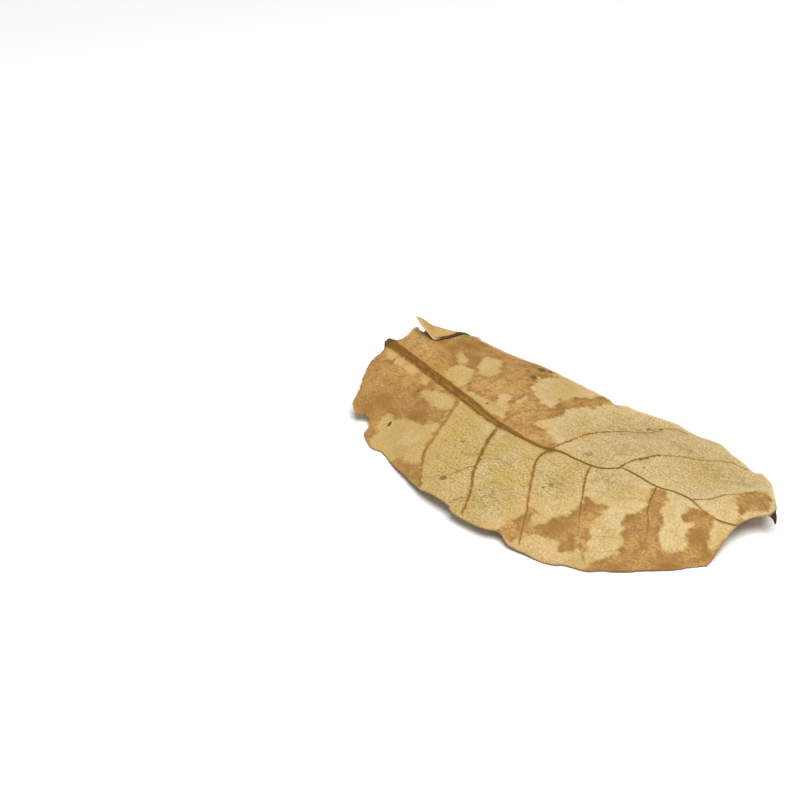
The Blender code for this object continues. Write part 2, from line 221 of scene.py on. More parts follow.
SIDE_VEIN_ROUNDING = 1.5
GROOVE_SHARE = 0.4  # depth of the groove under a rib, as a share of the rib's height

# Furrow of the midrib: its place and width as shares of the half width, its depth as a
# share of the midrib's height, and the height in mm at which it starts
MIDRIB_ROUNDING = 3
FURROW_PLACE = 0.32
FURROW_WIDTH = 0.22
FURROW_DEPTH = 0.45
FURROW_START = 0.3

# Small veins, in mm: the plainest ones listed, the rest as a ladder between side veins
TWIGS = [
    [(-10.3, -15.8), (-12, -18), (-13.6, -18.6), (-15.5, -18.4)],
    [(-8, -21.3), (-9.6, -23), (-10.6, -25.5), (-12, -28)],
    [(-1.8, -33), (-3.5, -34), (-4.3, -36.2), (-4.6, -37.6)],
]
RUNG_PITCH = 4.6
RUNG_SHIFT = 0.25
RUNG_SLANT = 0.08
RUNG_BENDS = 5
RUNG_WANDER = 1.0
RUNG_STRENGTH = 0.25
TWIG_PITCH = 1.0
TWIG_WIDTH = 0.32
TWIG_HEIGHT = 0.09

# Relief of the blade: how far from a small vein the quilting is full, in mm, how round it
# is, and the scales and the finer share of the crinkle
QUILT_REACH = 1.6
QUILT_ROUNDING = 0.7
CRINKLE_SCALE = 0.11
FINE_CRINKLE_SCALE = 0.31
FINE_CRINKLE_SHARE = 0.4
FINE_CRINKLE_SEED = 4.0

# The blade thins towards its rim, from RIM_TAPER in mm, to a share of its thickness
RIM_TAPER = 1.5
RIM_THICKNESS = 0.55

# Blotches, in mm: brown areas with light islands in them
BROWN_AREAS = {
    "base, near side": [
        (-75, 13), (-58, 9), (-46, 5), (-32.5, 1.5), (-30.5, -6), (-28, -15), (-25.5, -23), (-21, -30),
        (-17, -36), (-35, -38), (-70, -24),
    ],
    "base, far side": [
        (-75, 13), (-56, 8), (-41.5, 4), (-22, -1.5), (-5, -4), (4.5, -4), (3.5, 0), (0.5, 2.5), (-2, 4),
        (-4, 5.5), (-5.5, 4), (-7.5, 5), (-7.5, 7.5), (-6.5, 9.5), (-6.5, 11.5), (-5.8, 14), (-5.5, 16),
        (-6.5, 19), (-7, 21.5), (-6.3, 23), (-5, 23.2), (-5.7, 25.5), (-5.2, 27.8), (-3, 28), (-4.3, 30.5),
        (-3.6, 33), (-2.8, 36), (-1, 38), (-3, 44), (-75, 44),
    ],
    "near margin": [
        (12, -39.5), (13.5, -33.5), (14, -31.5), (15.3, -29.5), (14.8, -27.5), (15.5, -25.8), (17, -26.5),
        (17, -28.5), (18.2, -30.8), (20.2, -29.8), (21, -26.8), (22, -25), (23.5, -23), (24.5, -21),
        (25, -18.5), (24.8, -16), (23.8, -13.8), (25, -13.3), (27, -14), (29, -13.5), (31, -13), (32, -14.5),
        (31.3, -16), (31.5, -17.5), (31, -19.3), (31.2, -21.5), (33, -23.2), (34, -25.5), (35, -28),
        (36.8, -30.7), (36.4, -31.3), (34, -29.6), (32.5, -30.5), (31.5, -32), (29.5, -33), (28.3, -31.3),
        (26.5, -30.5), (25.3, -31.2), (24, -32), (21.5, -32.3), (19.5, -34.5), (18.5, -36.3), (17, -39.5),
    ],
    "near side of the tip": [
        (37, -0.3), (38.5, 0.5), (40.5, 1), (42.2, -0.5), (44, -4), (44.7, -6.5), (46.5, -9), (48, -12),
        (48.8, -13.8), (50.2, -15.2), (52.2, -15.3), (54.5, -13.8), (55.5, -12), (55, -10), (53.7, -8.7),
        (53.8, -7), (53, -4.5), (51.5, -5.7), (50, -5.8), (49.3, -4.5), (49.7, -2.8), (50.3, -1),
        (50.8, 0.3), (53.5, 0.8), (56.5, 0.5), (57.7, -0.8), (58.5, -3), (59.5, -6), (61, -7.7),
        (62.3, -7.8), (62.3, -5),
        (63, -3), (67, -4), (66, -18), (60, -26), (52, -34), (42, -38), (38.5, -36.5), (39.3, -33.5),
        (39, -31), (39.7, -28.7), (41.2, -27), (42, -25), (42.5, -23.2), (41.3, -21.8), (41.3, -20.3),
        (39.8, -19), (39.7, -17.3), (38.5, -16.4), (37.3, -15.6), (37.2, -14), (37.8, -12), (39.2, -10.3),
        (40, -8.5), (39.5, -6), (38.3, -4),
    ],
    "drip tip": [
        (57, 9.8), (56.3, 11.5), (56.8, 14), (57.3, 16.5), (59, 19.3), (61.3, 20.3), (63.3, 19), (65, 16.8),
        (66.3, 14), (66, 11.5), (64.6, 10), (63, 8.8), (62.6, 6.5), (62.3, 4.5), (60.6, 6.8), (58.6, 8.6),
    ],
    "beside the drip tip": [(62.5, 5.5), (64.5, 5), (65, 2), (63.5, 1), (62, 3)],
}
LIGHT_ISLANDS = [
    [(-43.5, -26.5), (-46, -22.3), (-46, -19.8), (-47.7, -18), (-48.7, -15.5), (-48.5, -13.5),
     (-47.2, -12.3), (-45.6, -12.6), (-44.6, -13.6), (-43.5, -12.6), (-41.5, -12.3), (-39, -12.8),
     (-35.5, -13), (-32.5, -12), (-30, -11), (-29, -12.3), (-28.6, -15), (-27.8, -18), (-27.2, -20.5),
     (-26.3, -22), (-24.9, -24.7), (-25, -26.5), (-26.3, -27.6), (-28.5, -27.4), (-31, -26), (-32.5, -27),
     (-33, -28.5), (-38, -29.5)],
    [(-65.8, 8.5), (-64, 9.2), (-61.6, 7.8), (-61, 4.6), (-63.1, 5.4)],
    [(-60.5, 6.4), (-58.9, 7.8), (-56.6, 6.6), (-56.6, 4.2), (-58.5, 3.8), (-60.2, 4.6)],
    [(-55.8, 6), (-54.3, 6.9), (-50.9, 6), (-49.9, 3.8), (-51.2, 2.3), (-53.6, 2.9), (-55.4, 4)],
    [(-49.3, 4), (-48.2, 5.4), (-46.1, 4.6), (-44.6, 3.2), (-44.9, 1.8), (-46.4, 1.6)],
    [(-44.8, -1.6), (-42.8, -0.5), (-40.2, 0.4), (-36.5, 1), (-33.5, 0.3), (-31.6, -1.2), (-31, -3.4),
     (-32, -4.9), (-34, -5.5), (-36.5, -5.2), (-39.5, -4.2), (-42.6, -2.9)],
    [(-43.5, 3.9), (-42, 3.8), (-39, 3), (-38.6, 2.2), (-41, 2.2)],
    [(-44.6, 10), (-44.6, 12), (-43.8, 14.6), (-42, 16.5), (-39.8, 16.4), (-37.5, 13.5), (-36, 10), (-35, 7),
     (-36, 5.8), (-38.5, 6.6), (-41, 7.4), (-43.2, 8.6)],
    [(-49.2, 21.5), (-48.4, 23), (-47, 22.2), (-44.6, 20), (-43.8, 18), (-45.4, 17.3), (-47.2, 19)],
    [(-42.6, 26.6), (-40.8, 27.4), (-39.5, 29), (-37.5, 28), (-34.6, 23.5), (-32.6, 19.5), (-33, 17),
     (-35, 16.8), (-38, 17.4), (-40, 20.6), (-41.6, 24)],
    [(-34.6, 6), (-32, 6.6), (-28.5, 6.2), (-25, 5.6), (-22.8, 6), (-23.6, 8), (-24.8, 11.5), (-24, 13),
     (-22, 12.6), (-20, 9), (-18, 5.5), (-16.4, 1.4), (-19, 0.8), (-22.5, 1.4), (-27, 2.8), (-30.5, 3.8),
     (-34, 5.2)],
    [(-25.4, 30.5), (-23, 29.6), (-23, 32), (-22, 33.5), (-22.6, 36), (-21, 38.8), (-8.5, 41), (-7.5, 37.5),
     (-7.8, 35), (-7.6, 33), (-8.5, 31.8), (-9.4, 30), (-10.6, 29.4), (-10.5, 27), (-11.5, 24.2),
     (-12.4, 23.4), (-10.8, 20.5), (-10.3, 18.5), (-11, 16.7), (-12.8, 17.4), (-14, 16.6), (-15.5, 17.5),
     (-17.5, 19), (-19.5, 20.6), (-21.5, 22), (-22.5, 25), (-23.6, 28)],
    [(30.6, -27), (31.2, -26), (32.2, -26.4), (32.8, -27.6), (32, -28.2)],
    [(-19.4, 11), (-19.3, 14), (-19.6, 17), (-18.6, 16.6), (-18, 13.5), (-18.2, 11)],
]
OUTLINE_PITCH = 1.0

# The grain is calm in the light islands and for CALM_REACH, in mm, round the brown areas
CALM_RIM = 0.5
CALM_REACH = 7.0

# Soft tints by name, in mm: place on the plan, along and across, then the radius
TINTS = {
    "yellow": [
        (0, -20, 4), (4, -18, 4), (8, -19, 2.5), (38, 21, 6), (-46.5, 3, 3), (-24, -12, 8),
        (-18, -24, 6), (-8, -14, 5), (-50, 13, 4.5), (-45, 11, 3), (-55, -2, 4), (40, -2.5, 2.5),
        (45, 17, 7), (5, 10, 2.5), (6, 17, 2.5), (60.5, -7, 4), (61.5, -2, 3.5), (44, 13.5, 4),
        (-54.5, -12, 4),
    ],
    "grey": [
        (-3, -16.5, 4), (-9, -6, 3), (2, -30, 6), (15, -14, 4.5), (24.5, -4.5, 4), (44, 20, 6),
        (31, 26, 4.5), (19, 11, 4), (12, 30, 6), (53, 21, 4), (8, 24, 4), (61.5, 13.5, 4),
    ],
    "tan": [
        (-63, 19, 4), (-59, 17, 4.5), (-56, 14, 3.5), (-30, 15, 7), (-21.5, 15.5, 4), (-14, 8, 5.5),
        (-2, 0, 4),
    ],
    "peach": [
        (-62.5, 8, 2.5), (-58.5, 6.5, 2.5), (-53, 5, 2.2), (-39.5, 21, 2.2), (-24.4, 9.6, 2.5),
        (-21.3, 13, 4.5), (-10.4, 37.3, 2.5), (-6.7, 5.6, 2.2), (-35.3, 7.5, 2.5), (26.8, -35, 3.5),
        (12.1, -24.5, 2), (29.5, -20.7, 2),
    ],
    # The dark spots from (-57, 23.5) to (-48, 31), just under the folded corner, paint its shade on the
    # blade.
    "dark": [
        (-49, 28, 4), (-43.5, 23, 3), (-52, 22.6, 2.5), (-51.5, 27.5, 2.5), (-48, 31, 2.5), (-57, 23.5, 2),
        (-52, -10, 4.5), (-39, -10.5, 4), (-54, -15, 4), (-27, 36, 3), (-24.3, 28.6, 2.2), (23, -27, 4),
        (25.5, -16, 2.5), (38, -12.4, 3), (49.5, -1, 2), (49.7, -6, 2), (57, -7, 3.5), (61, -9, 2.5),
        (-8, 19.5, 2.2), (-10, 29, 2), (-7, 36, 2), (56, -20, 4), (46, -30, 3), (-17, 21, 2.5),
        (-45, -3, 2),
    ],
    "mauve": [
        (39, -14, 4), (22, -27, 5), (30, -16, 3), (57, -4, 3), (-28, 15, 4), (-54, 32, 2), (-21, 36, 3),
        (44, -28, 4), (-60, -13, 4),
    ],
    "stain": [
        (12, 31.5, 0.8), (13.5, 32.8, 0.9), (15, 33.6, 1), (16.3, 35.3, 0.9), (26.2, 9.5, 0.8),
        (27, 11.5, 0.9), (27.6, 13.5, 0.9), (28.4, 15.5, 0.8), (-13.8, -2.9, 1.7), (4.5, -3.9, 1.9),
        (-34.6, 3, 1.5),
    ],
}

# Small spots: place on the plan and radius in mm, and how dark they are
SPOTS = [
    (13.5, 2.5, 1.3, 0.4), (12, 21.5, 0.9, 0.45), (19, 25, 0.7, 0.35), (18.5, 5, 0.6, 0.3),
    (29.5, 6.5, 0.6, 0.35), (13, -18, 0.45, 0.9), (14, -16, 0.8, 0.5), (15, -11.5, 0.7, 0.25),
    (-18.5, -14.5, 0.5, 0.75), (-19, -17, 0.45, 0.5), (-13, -30, 1.0, 0.7), (-24.5, 4.5, 0.5, 0.9),
    (-45, -2, 0.5, 0.6), (-27, 34.5, 1.2, 0.8), (-25.5, 28.5, 1.0, 0.7), (-28, 8, 0.5, 0.5),
    (-24.5, 35.5, 0.8, 0.7), (-29, 30.5, 0.6, 0.6), (-21.5, 35, 0.6, 0.5),
    (-24.5, 33, 0.5, 0.6), (-65, 3, 0.5, 0.5), (9, 27, 0.6, 0.4), (34, 12, 0.6, 0.25), (3, -28, 0.5, 0.25),
]

# Limits of the distances that the mesh keeps, in mm or in half widths of a rib
MIDRIB_LIMIT = 6
VEIN_LIMIT = 8
TWIG_LIMIT = 4
RIM_LIMIT = 6
BLOTCH_LIMIT = 6
SPOT_LIMITS = (-2, 4)

# Mesh: how fine it is cut, in mm, then the lines of corners along the ribs, as shares of
# their width
MARGIN_PITCH = 0.5
RIB_PITCH = 0.55
CLEARANCE = 0.6
WELD = 0.02
TINY = 0.001
SHARP_ANGLE = math.radians(60)
MAP_BORDER = 1
MAP_RIM_WIDTH = 0.5
HIDDEN_SHIFT = 40  # sets the noise of the hidden face apart from that of the ribbed one
RIB_LINES = (-0.5, -0.25, 0.0, 0.25, 0.5)
MIDRIB_LINES = (-0.5, -0.38, -0.25, -0.12, 0.0, 0.12, 0.25, 0.38, 0.5)

# Seed of the ladder's draws and of the random shifts
SEED = 7

# Noises of the material: scale over the plan in mm, then octaves and roughness
BROAD_NOISE = (0.09, 3.0)
CLOUD_NOISE = (0.21, 3.0)
PATCHY_NOISE = (0.42, 4.0, 0.6)
FINE_NOISE = (1.7, 3.0, 0.6)
GRAIN_NOISE = (1.5, 4.0, 0.75)
FIBRE_NOISE = (2.6, 3.0, 0.6)
FIBRE_SHARE_ALONG = 0.16

# Straw: how fast it deepens over a millimetre, and the grain
STRAW_LEAN_ALONG = -0.003
STRAW_LEAN_ACROSS = -0.0035
CALM_GRAIN = 0.3
DARK_GRAIN = 0.75
LIGHT_GRAIN = 0.5

# Brown: strengths of the soft tints in it, and how ragged its edges are, in mm
BROWN_TINTS = {"mauve": 0.6, "tan": 0.7, "yellow": 0.3, "grey": 0.5}
BLOTCH_RAGGED = 3.4
BLOTCH_FRAYED = 0.45

# Net of veinlets: cells to a millimetre of plan, and strengths
NET_SCALE = 0.8
SMALL_NET_SCALE = 1.9
NET_STRAY_SCALE = 0.9
SMALL_NET_STRENGTH = 0.6
NET_STRENGTH = 0.24

# How unevenly the veins are painted: in mm for a twig, in half widths for a rib, and in
# tone
TWIG_SWAY = 0.3
VEIN_SWAY = 2.2
VEIN_KNOTS = 2.8
VEIN_TONE_SWAY = 1.4
MIDRIB_SWAY = 0.6
MIDRIB_KNOTS = 0.8

# Stretches over which the paint changes, in mm along the leaf, or across it for the rim
STRAW_SLANT_STARTS = (-30.0, 20.0)
TORN_END_FADES = (-68.0, -40.0)
FURROW_OPENS = (-46.0, -34.0)
FURROW_CLOSES = (-16.0, -9.0)
MIDRIB_REDDENS = (-16.0, -8.0)
NEAR_SIDE_DARKENS = (-15.0, -9.0)
MIDRIB_THINS = (3.0, 14.0)
STRANDS_FADE = (-20.0, 10.0)
STUB_FADES = (-68.2, -65.2)
SCORCH_AND_SHADOW_STARTS = (-69.0, -66.0)
DRIP_TIP_STARTS = (67.4, 68.4)
HIGHLIGHT_RIM_STARTS = (14.0, 26.0)

# Marks: how ragged the rim and the scorched edge with its painted shadow line are, in mm, and the hidden
# face's fading
RIM_RAGGED = 0.9
SCORCH_AND_SHADOW_RAGGED = 0.6
HIDDEN_FADING = 0.25

# Surface of the leaf, with its finest relief in metres
LEAF_ROUGHNESS = (0.62, 0.82)
LEAF_SPECULAR = 0.28
GRAIN_RELIEF = 0.05 * MM
NET_RELIEF = 0.05 * MM
FINE_RELIEF = 0.10 * MM
STRAND_RELIEF = 0.3 * MM

# Stage
CAMERA_AIM = (-0.0542, -0.00105, 0.0004)
CAMERA_NEAR = 0.01
SOFT_BOX_SIZE = 0.9
SOFT_BOX_DISTANCE = 1.1
SOFT_BOX_AZIMUTH = math.radians(60)
SOFT_BOX_ELEVATION = math.radians(70)
FLOOR_REACH = 3.0
FLOOR_ROUGHNESS = 0.9
FLOOR_CLOUDS = 3.0
FLOOR_SHADE = 0.97


def curve(points, pitch):
    """A smooth curve through the points, as places about one pitch apart."""
    points = np.array(points, float)
    before = 2 * points[0] - points[1]
    after = 2 * points[-1] - points[-2]
    ends = np.vstack([before, points, after])
    slopes = (ends[2:] - ends[:-2]) / 2
    places = []
    for i in range(len(points) - 1):
        steps = max(1, round(np.linalg.norm(points[i + 1] - points[i]) / pitch))
        for t in np.arange(steps) / steps:
            places.append((1 + 2 * t) * (1 - t) ** 2 * points[i]
                          + t * (1 - t) ** 2 * slopes[i]
                          + t * t * (3 - 2 * t) * points[i + 1]
                          + t * t * (t - 1) * slopes[i + 1])
    places.append(points[-1])
    return np.array(places)


def through_stations(along, column):
    """One column of the stations, as a smooth line along the leaf."""
    table = np.array(STATIONS, float)
    places = table[:, 0]
    values = table[:, column]
    slopes = np.gradient(values, places)
    along = np.clip(along, places[0], places[-1])
    i = np.clip(np.searchsorted(places, along, side="right") - 1, 0, len(places) - 2)
    step = places[i + 1] - places[i]
    t = (along - places[i]) / step
    return ((1 + 2 * t) * (1 - t) ** 2 * values[i]
            + t * (1 - t) ** 2 * slopes[i] * step
            + t * t * (3 - 2 * t) * values[i + 1]
            + t * t * (t - 1) * slopes[i + 1] * step)


def arch(along, across):
    """Height of the blade over the table, without its curls."""
    near, near_up, middle, middle_up, far, far_up = [through_stations(along, c) for c in range(1, 7)]
    near_side = across < middle
    reach = np.where(near_side, (middle - across) / (middle - near), (across - middle) / (far - middle))
    reach = np.clip(reach, 0, REACH_LIMIT)
    edge_up = np.where(near_side, near_up, far_up)
    height = middle_up + (edge_up - middle_up) * reach ** ARCH_POWER
    wave = np.sin(2 * math.pi * along / RIPPLE_LENGTH + RIPPLE_SLANT * across)
    lift = np.clip(height / RIPPLE_LIFT, 0, 1)
    height = height + RIPPLE_HEIGHT * reach ** 3 * lift * wave
    settled = (height + np.sqrt(height ** 2 + SETTLE ** 2)) / 2 - SETTLE / 5
    return np.maximum(settled, 0)


def fold_frame():
    """Start of the crease, the direction along it and the direction out of the blade."""
    start = np.array(FOLD_START)
    along = np.array(FOLD_END) - start
    along /= np.linalg.norm(along)
    return start, along, np.array([-along[1], along[0]])


def fold_places(points):
    """Plan places of points measured along the crease and out from it."""
    start, along, out = fold_frame()
    return np.array([start + q * along + s * out for q, s in points])


def fold_over(x, y):
    """Place and height of a plan point, with the torn corner rolled over the blade."""
    start, along, out = fold_frame()
    offset = np.array([x, y]) - start
    q = offset @ along
    s = offset @ out
    radius = np.interp(q, *zip(*FOLD_RADII))
    turn = min(s / radius, FOLD_TURN)
    straight = s - radius * turn
    foot = start + q * along
    reach = radius * math.sin(turn) + straight * math.cos(turn)
    rise = radius * (1 - math.cos(turn)) + straight * math.sin(turn)
    place = foot + reach * out
    under = foot + min(reach, 0) * out
    return place[0], place[1], float(arch(under[0], under[1])) + rise


def tip_reach(x, y):
    """How far a plan point lies past the root of the drip tip, and the way it points."""
    direction = np.array(TIP_DIRECTION) / np.linalg.norm(TIP_DIRECTION)
    return (np.array([x, y]) - np.array(TIP_ROOT)) @ direction, direction


def bend_tip(x, y):
    """Place and height of a plan point of the drip tip, bent down from its root."""
    reach, direction = tip_reach(x, y)
    turn = reach / TIP_RADIUS
    foot = np.array([x, y]) - reach * direction
    place = foot + TIP_RADIUS * math.sin(turn) * direction
    drop = TIP_RADIUS * (1 - math.cos(turn))
    return place[0], place[1], float(arch(foot[0], foot[1])) - drop


def inside(points, outline):
    """Which points lie inside a closed outline."""
    x, y = points[:, 0], points[:, 1]
    result = np.zeros(len(points), bool)
    for (x0, y0), (x1, y1) in zip(outline, np.roll(outline, -1, axis=0)):
        crosses = (y0 > y) != (y1 > y)
        if y1 != y0:
            result ^= crosses & (x < (x1 - x0) * (y - y0) / (y1 - y0) + x0)
    return result


def offset_from(points, line):
    """Distance of each point to a line of places, less than zero on its right, and the share
    of the line at which it is nearest."""
    best = np.full(len(points), np.inf)
    signed = np.zeros(len(points))
    share = np.zeros(len(points))
    for i in range(len(line) - 1):
        run = line[i + 1] - line[i]
        away = points - line[i]
        t = np.clip(away @ run / (run @ run), 0, 1)
        gap = np.linalg.norm(away - t[:, None] * run, axis=1)
        closer = gap < best
        side = np.sign(run[0] * away[:, 1] - run[1] * away[:, 0])
        best = np.where(closer, gap, best)
        signed = np.where(closer, gap * side, signed)
        share = np.where(closer, (i + t) / (len(line) - 1), share)
    return signed, share


def wander(points, size, scale, seed=0.0):
    """Smooth random sideways shifts of plan points, up to about one size."""
    shifts = [noise.noise_vector(Vector((x * scale, y * scale, seed))) for x, y in points]
    return np.array([(s.x, s.y) for s in shifts]) * size


def roughness(points, scale, seed=0.0):
    """Smooth random numbers between about -1 and 1 over the plan."""
    return np.array([noise.noise(Vector((x * scale, y * scale, seed))) for x, y in points])


def edge(points, stray):
    """A stretch of margin as a curve that strays by about stray, in mm, without its last place."""
    places = curve(points, MARGIN_PITCH)
    ends = np.minimum(np.arange(len(places)), np.arange(len(places))[::-1]) * MARGIN_PITCH
    hold = np.clip(ends, 0, 1)[:, None]
    rough = wander(places, stray, WOBBLE_SCALE)
    rough = rough + wander(places, stray / 2, FINE_WOBBLE_SCALE, FINE_WOBBLE_SEED)
    return (places + rough * hold)[:-1]


def margin():
    """The closed outline of the flattened leaf, and the part of it round the folded corner."""
    corner = fold_places(edge(FOLD_OUTLINE, FOLD_WOBBLE))
    stretches = [
        edge(MIDRIB_STUB, STUB_TEAR),
        edge(TORN_BASE, BASE_TEAR),
        edge(BASE_NOTCH, NOTCH_TEAR),
        edge(NEAR_MARGIN, MARGIN_WOBBLE),
        edge(TIP_MARGIN, TIP_WOBBLE),
        edge(DRIP_TIP, DRIP_TIP_WOBBLE),
        edge(FAR_MARGIN, MARGIN_WOBBLE),
        corner,
        edge(TORN_CORNER, BASE_TEAR),
    ]
    return np.vstack(stretches), corner


def pinhole():
    """Outline of the small slit near the base."""
    turns = np.linspace(0, 2 * math.pi, PINHOLE_CORNERS, endpoint=False)
    ring = np.column_stack([np.cos(turns), np.sin(turns)]) * PINHOLE_RADII + PINHOLE
    return ring + wander(ring, *PINHOLE_WAVER)


def profile(table, x):
    """Values of a table at places along the leaf."""
    return np.interp(x, *zip(*table))


def rib_sizes(share, x, is_midrib):
    """Width and height of a rib."""
    if is_midrib:
        return profile(MIDRIB_WIDTHS, x), profile(MIDRIB_HEIGHTS, x)
    taper = 1 - SIDE_VEIN_TAPER * share
    return profile(SIDE_VEIN_WIDTHS, x) * taper, profile(SIDE_VEIN_HEIGHTS, x) * taper


def rib_curves():
    """Centre lines of the midrib and of the side veins, which waver a little."""
    midrib = curve(MIDRIB, RIB_PITCH)
    sides = [curve(vein.points, RIB_PITCH) for vein in NEAR_VEINS + FAR_VEINS]
    return midrib, [line + wander(line, *VEIN_WAVER) for line in sides]


def rib_lines(midrib, sides):
    """Lines of mesh corners along the crest, the flanks and the feet of each rib."""
    result = []
    for number, line in enumerate([midrib] + sides):
        ahead = np.gradient(line, axis=0)
        ahead /= np.linalg.norm(ahead, axis=1)[:, None]
        side = np.stack([-ahead[:, 1], ahead[:, 0]], axis=1)
        width, _ = rib_sizes(np.linspace(0, 1, len(line)), line[:, 0], number == 0)
        for place in MIDRIB_LINES if number == 0 else RIB_LINES:
            result.append(line + side * (place * width)[:, None])
    return result


def ladder(sides):
    """Faint small veins: the plainest listed, and rungs between neighbouring side veins."""
    chance = np.random.default_rng(SEED)
    rungs = [curve(points, TWIG_PITCH) for points in TWIGS]
    near, far = sides[:len(NEAR_VEINS)], sides[len(NEAR_VEINS):]
    for row in (near, far):
        for first, second in zip(row[:-1], row[1:]):
            count = int(min(len(first), len(second)) * RIB_PITCH / RUNG_PITCH)
            for number in range(1, count):
                share = (number + chance.uniform(-RUNG_SHIFT, RUNG_SHIFT)) / count
                start = first[int(share * (len(first) - 1))]
                share = np.clip(share + chance.uniform(-RUNG_SLANT, RUNG_SLANT), 0, 1)
                end = second[int(share * (len(second) - 1))]
                steps = np.linspace(0, 1, RUNG_BENDS)[:, None]
                bends = chance.uniform(-RUNG_WANDER, RUNG_WANDER, (RUNG_BENDS, 2))
                path = start + (end - start) * steps + bends * np.sin(math.pi * steps)
                rungs.append(curve(path, TWIG_PITCH))
    return rungs


def plan_triangles(pitch, lines):
    """Flat triangles that cover the leaf, with edges along its margin and its ribs."""
    outline, corner = margin()
    hole = pinhole()
    points, edges, fixed = [], [], []
    for ring in (outline, hole):
        start = len(points)
        edges += [(start + i, start + (i + 1) % len(ring)) for i in range(len(ring))]
        points += [tuple(p) for p in ring]
        fixed.append(ring)
    border = near_tree(outline)
    for line in lines:
        clear = np.array([border.find((x, y, 0))[2] > RIB_PITCH for x, y in line])
        line = line[inside(line, outline) & clear]
        if len(line) < 2:
            continue
        edges += [(len(points) + i, len(points) + i + 1) for i in range(len(line) - 1)]
        points += [tuple(p) for p in line]
        fixed.append(line)

    (left, front), (right, back) = outline.min(axis=0), outline.max(axis=0)
    rows = np.arange(front, back, pitch * math.sqrt(3) / 2)
    grid = np.array([(x + (i % 2) * pitch / 2, y)
                     for i, y in enumerate(rows) for x in np.arange(left, right, pitch)])
    grid = grid[inside(grid, outline)]
    taken = near_tree(np.vstack(fixed))
    filler = [(x, y) for x, y in grid if taken.find((x, y, 0))[2] > CLEARANCE * pitch]
    points += filler

    places, _, triangles, *_ = delaunay_2d_cdt([Vector(p) for p in points], edges, [], 0, WELD, False)
    places = np.array([tuple(p) for p in places])
    triangles = np.array([tuple(t) for t in triangles])
    middles = places[triangles].mean(axis=1)
    triangles = triangles[inside(middles, outline) & ~inside(middles, hole)]
    used, triangles = np.unique(triangles, return_inverse=True)
    places, triangles = places[used], triangles.reshape(-1, 3)
    (ax, ay), (bx, by), (cx, cy) = (places[triangles[:, k]].T for k in range(3))
    flipped = (bx - ax) * (cy - ay) - (by - ay) * (cx - ax) < 0
    triangles[flipped] = triangles[flipped][:, ::-1]
    return places, triangles, outline, corner


def near_tree(points):
    """A search tree of plan points."""
    tree = kdtree.KDTree(len(points))
    for i, (x, y) in enumerate(points):
        tree.insert((x, y, 0), i)
    tree.balance()
    return tree


def blotches(places):
    """How deep each plan place lies in a brown area and in a light island, in mm, less than
    zero outside."""
    def depth(outline):
        ring = curve(outline + outline[:1], OUTLINE_PITCH)
        away, _ = offset_from(places, ring)
        return np.where(inside(places, ring[:-1]), np.abs(away), -np.abs(away))

    brown = np.max([depth(outline) for outline in BROWN_AREAS.values()], axis=0)
    light = np.max([depth(outline) for outline in LIGHT_ISLANDS], axis=0)
    return brown, light


def tint(places, spots):
    """Strength of a soft tint at each plan place, from 0 to 1."""
    along, across = places.T
    fall = [np.exp(-((along - x) ** 2 + (across - y) ** 2) / radius ** 2) for x, y, radius in spots]
    return np.max(fall, axis=0)


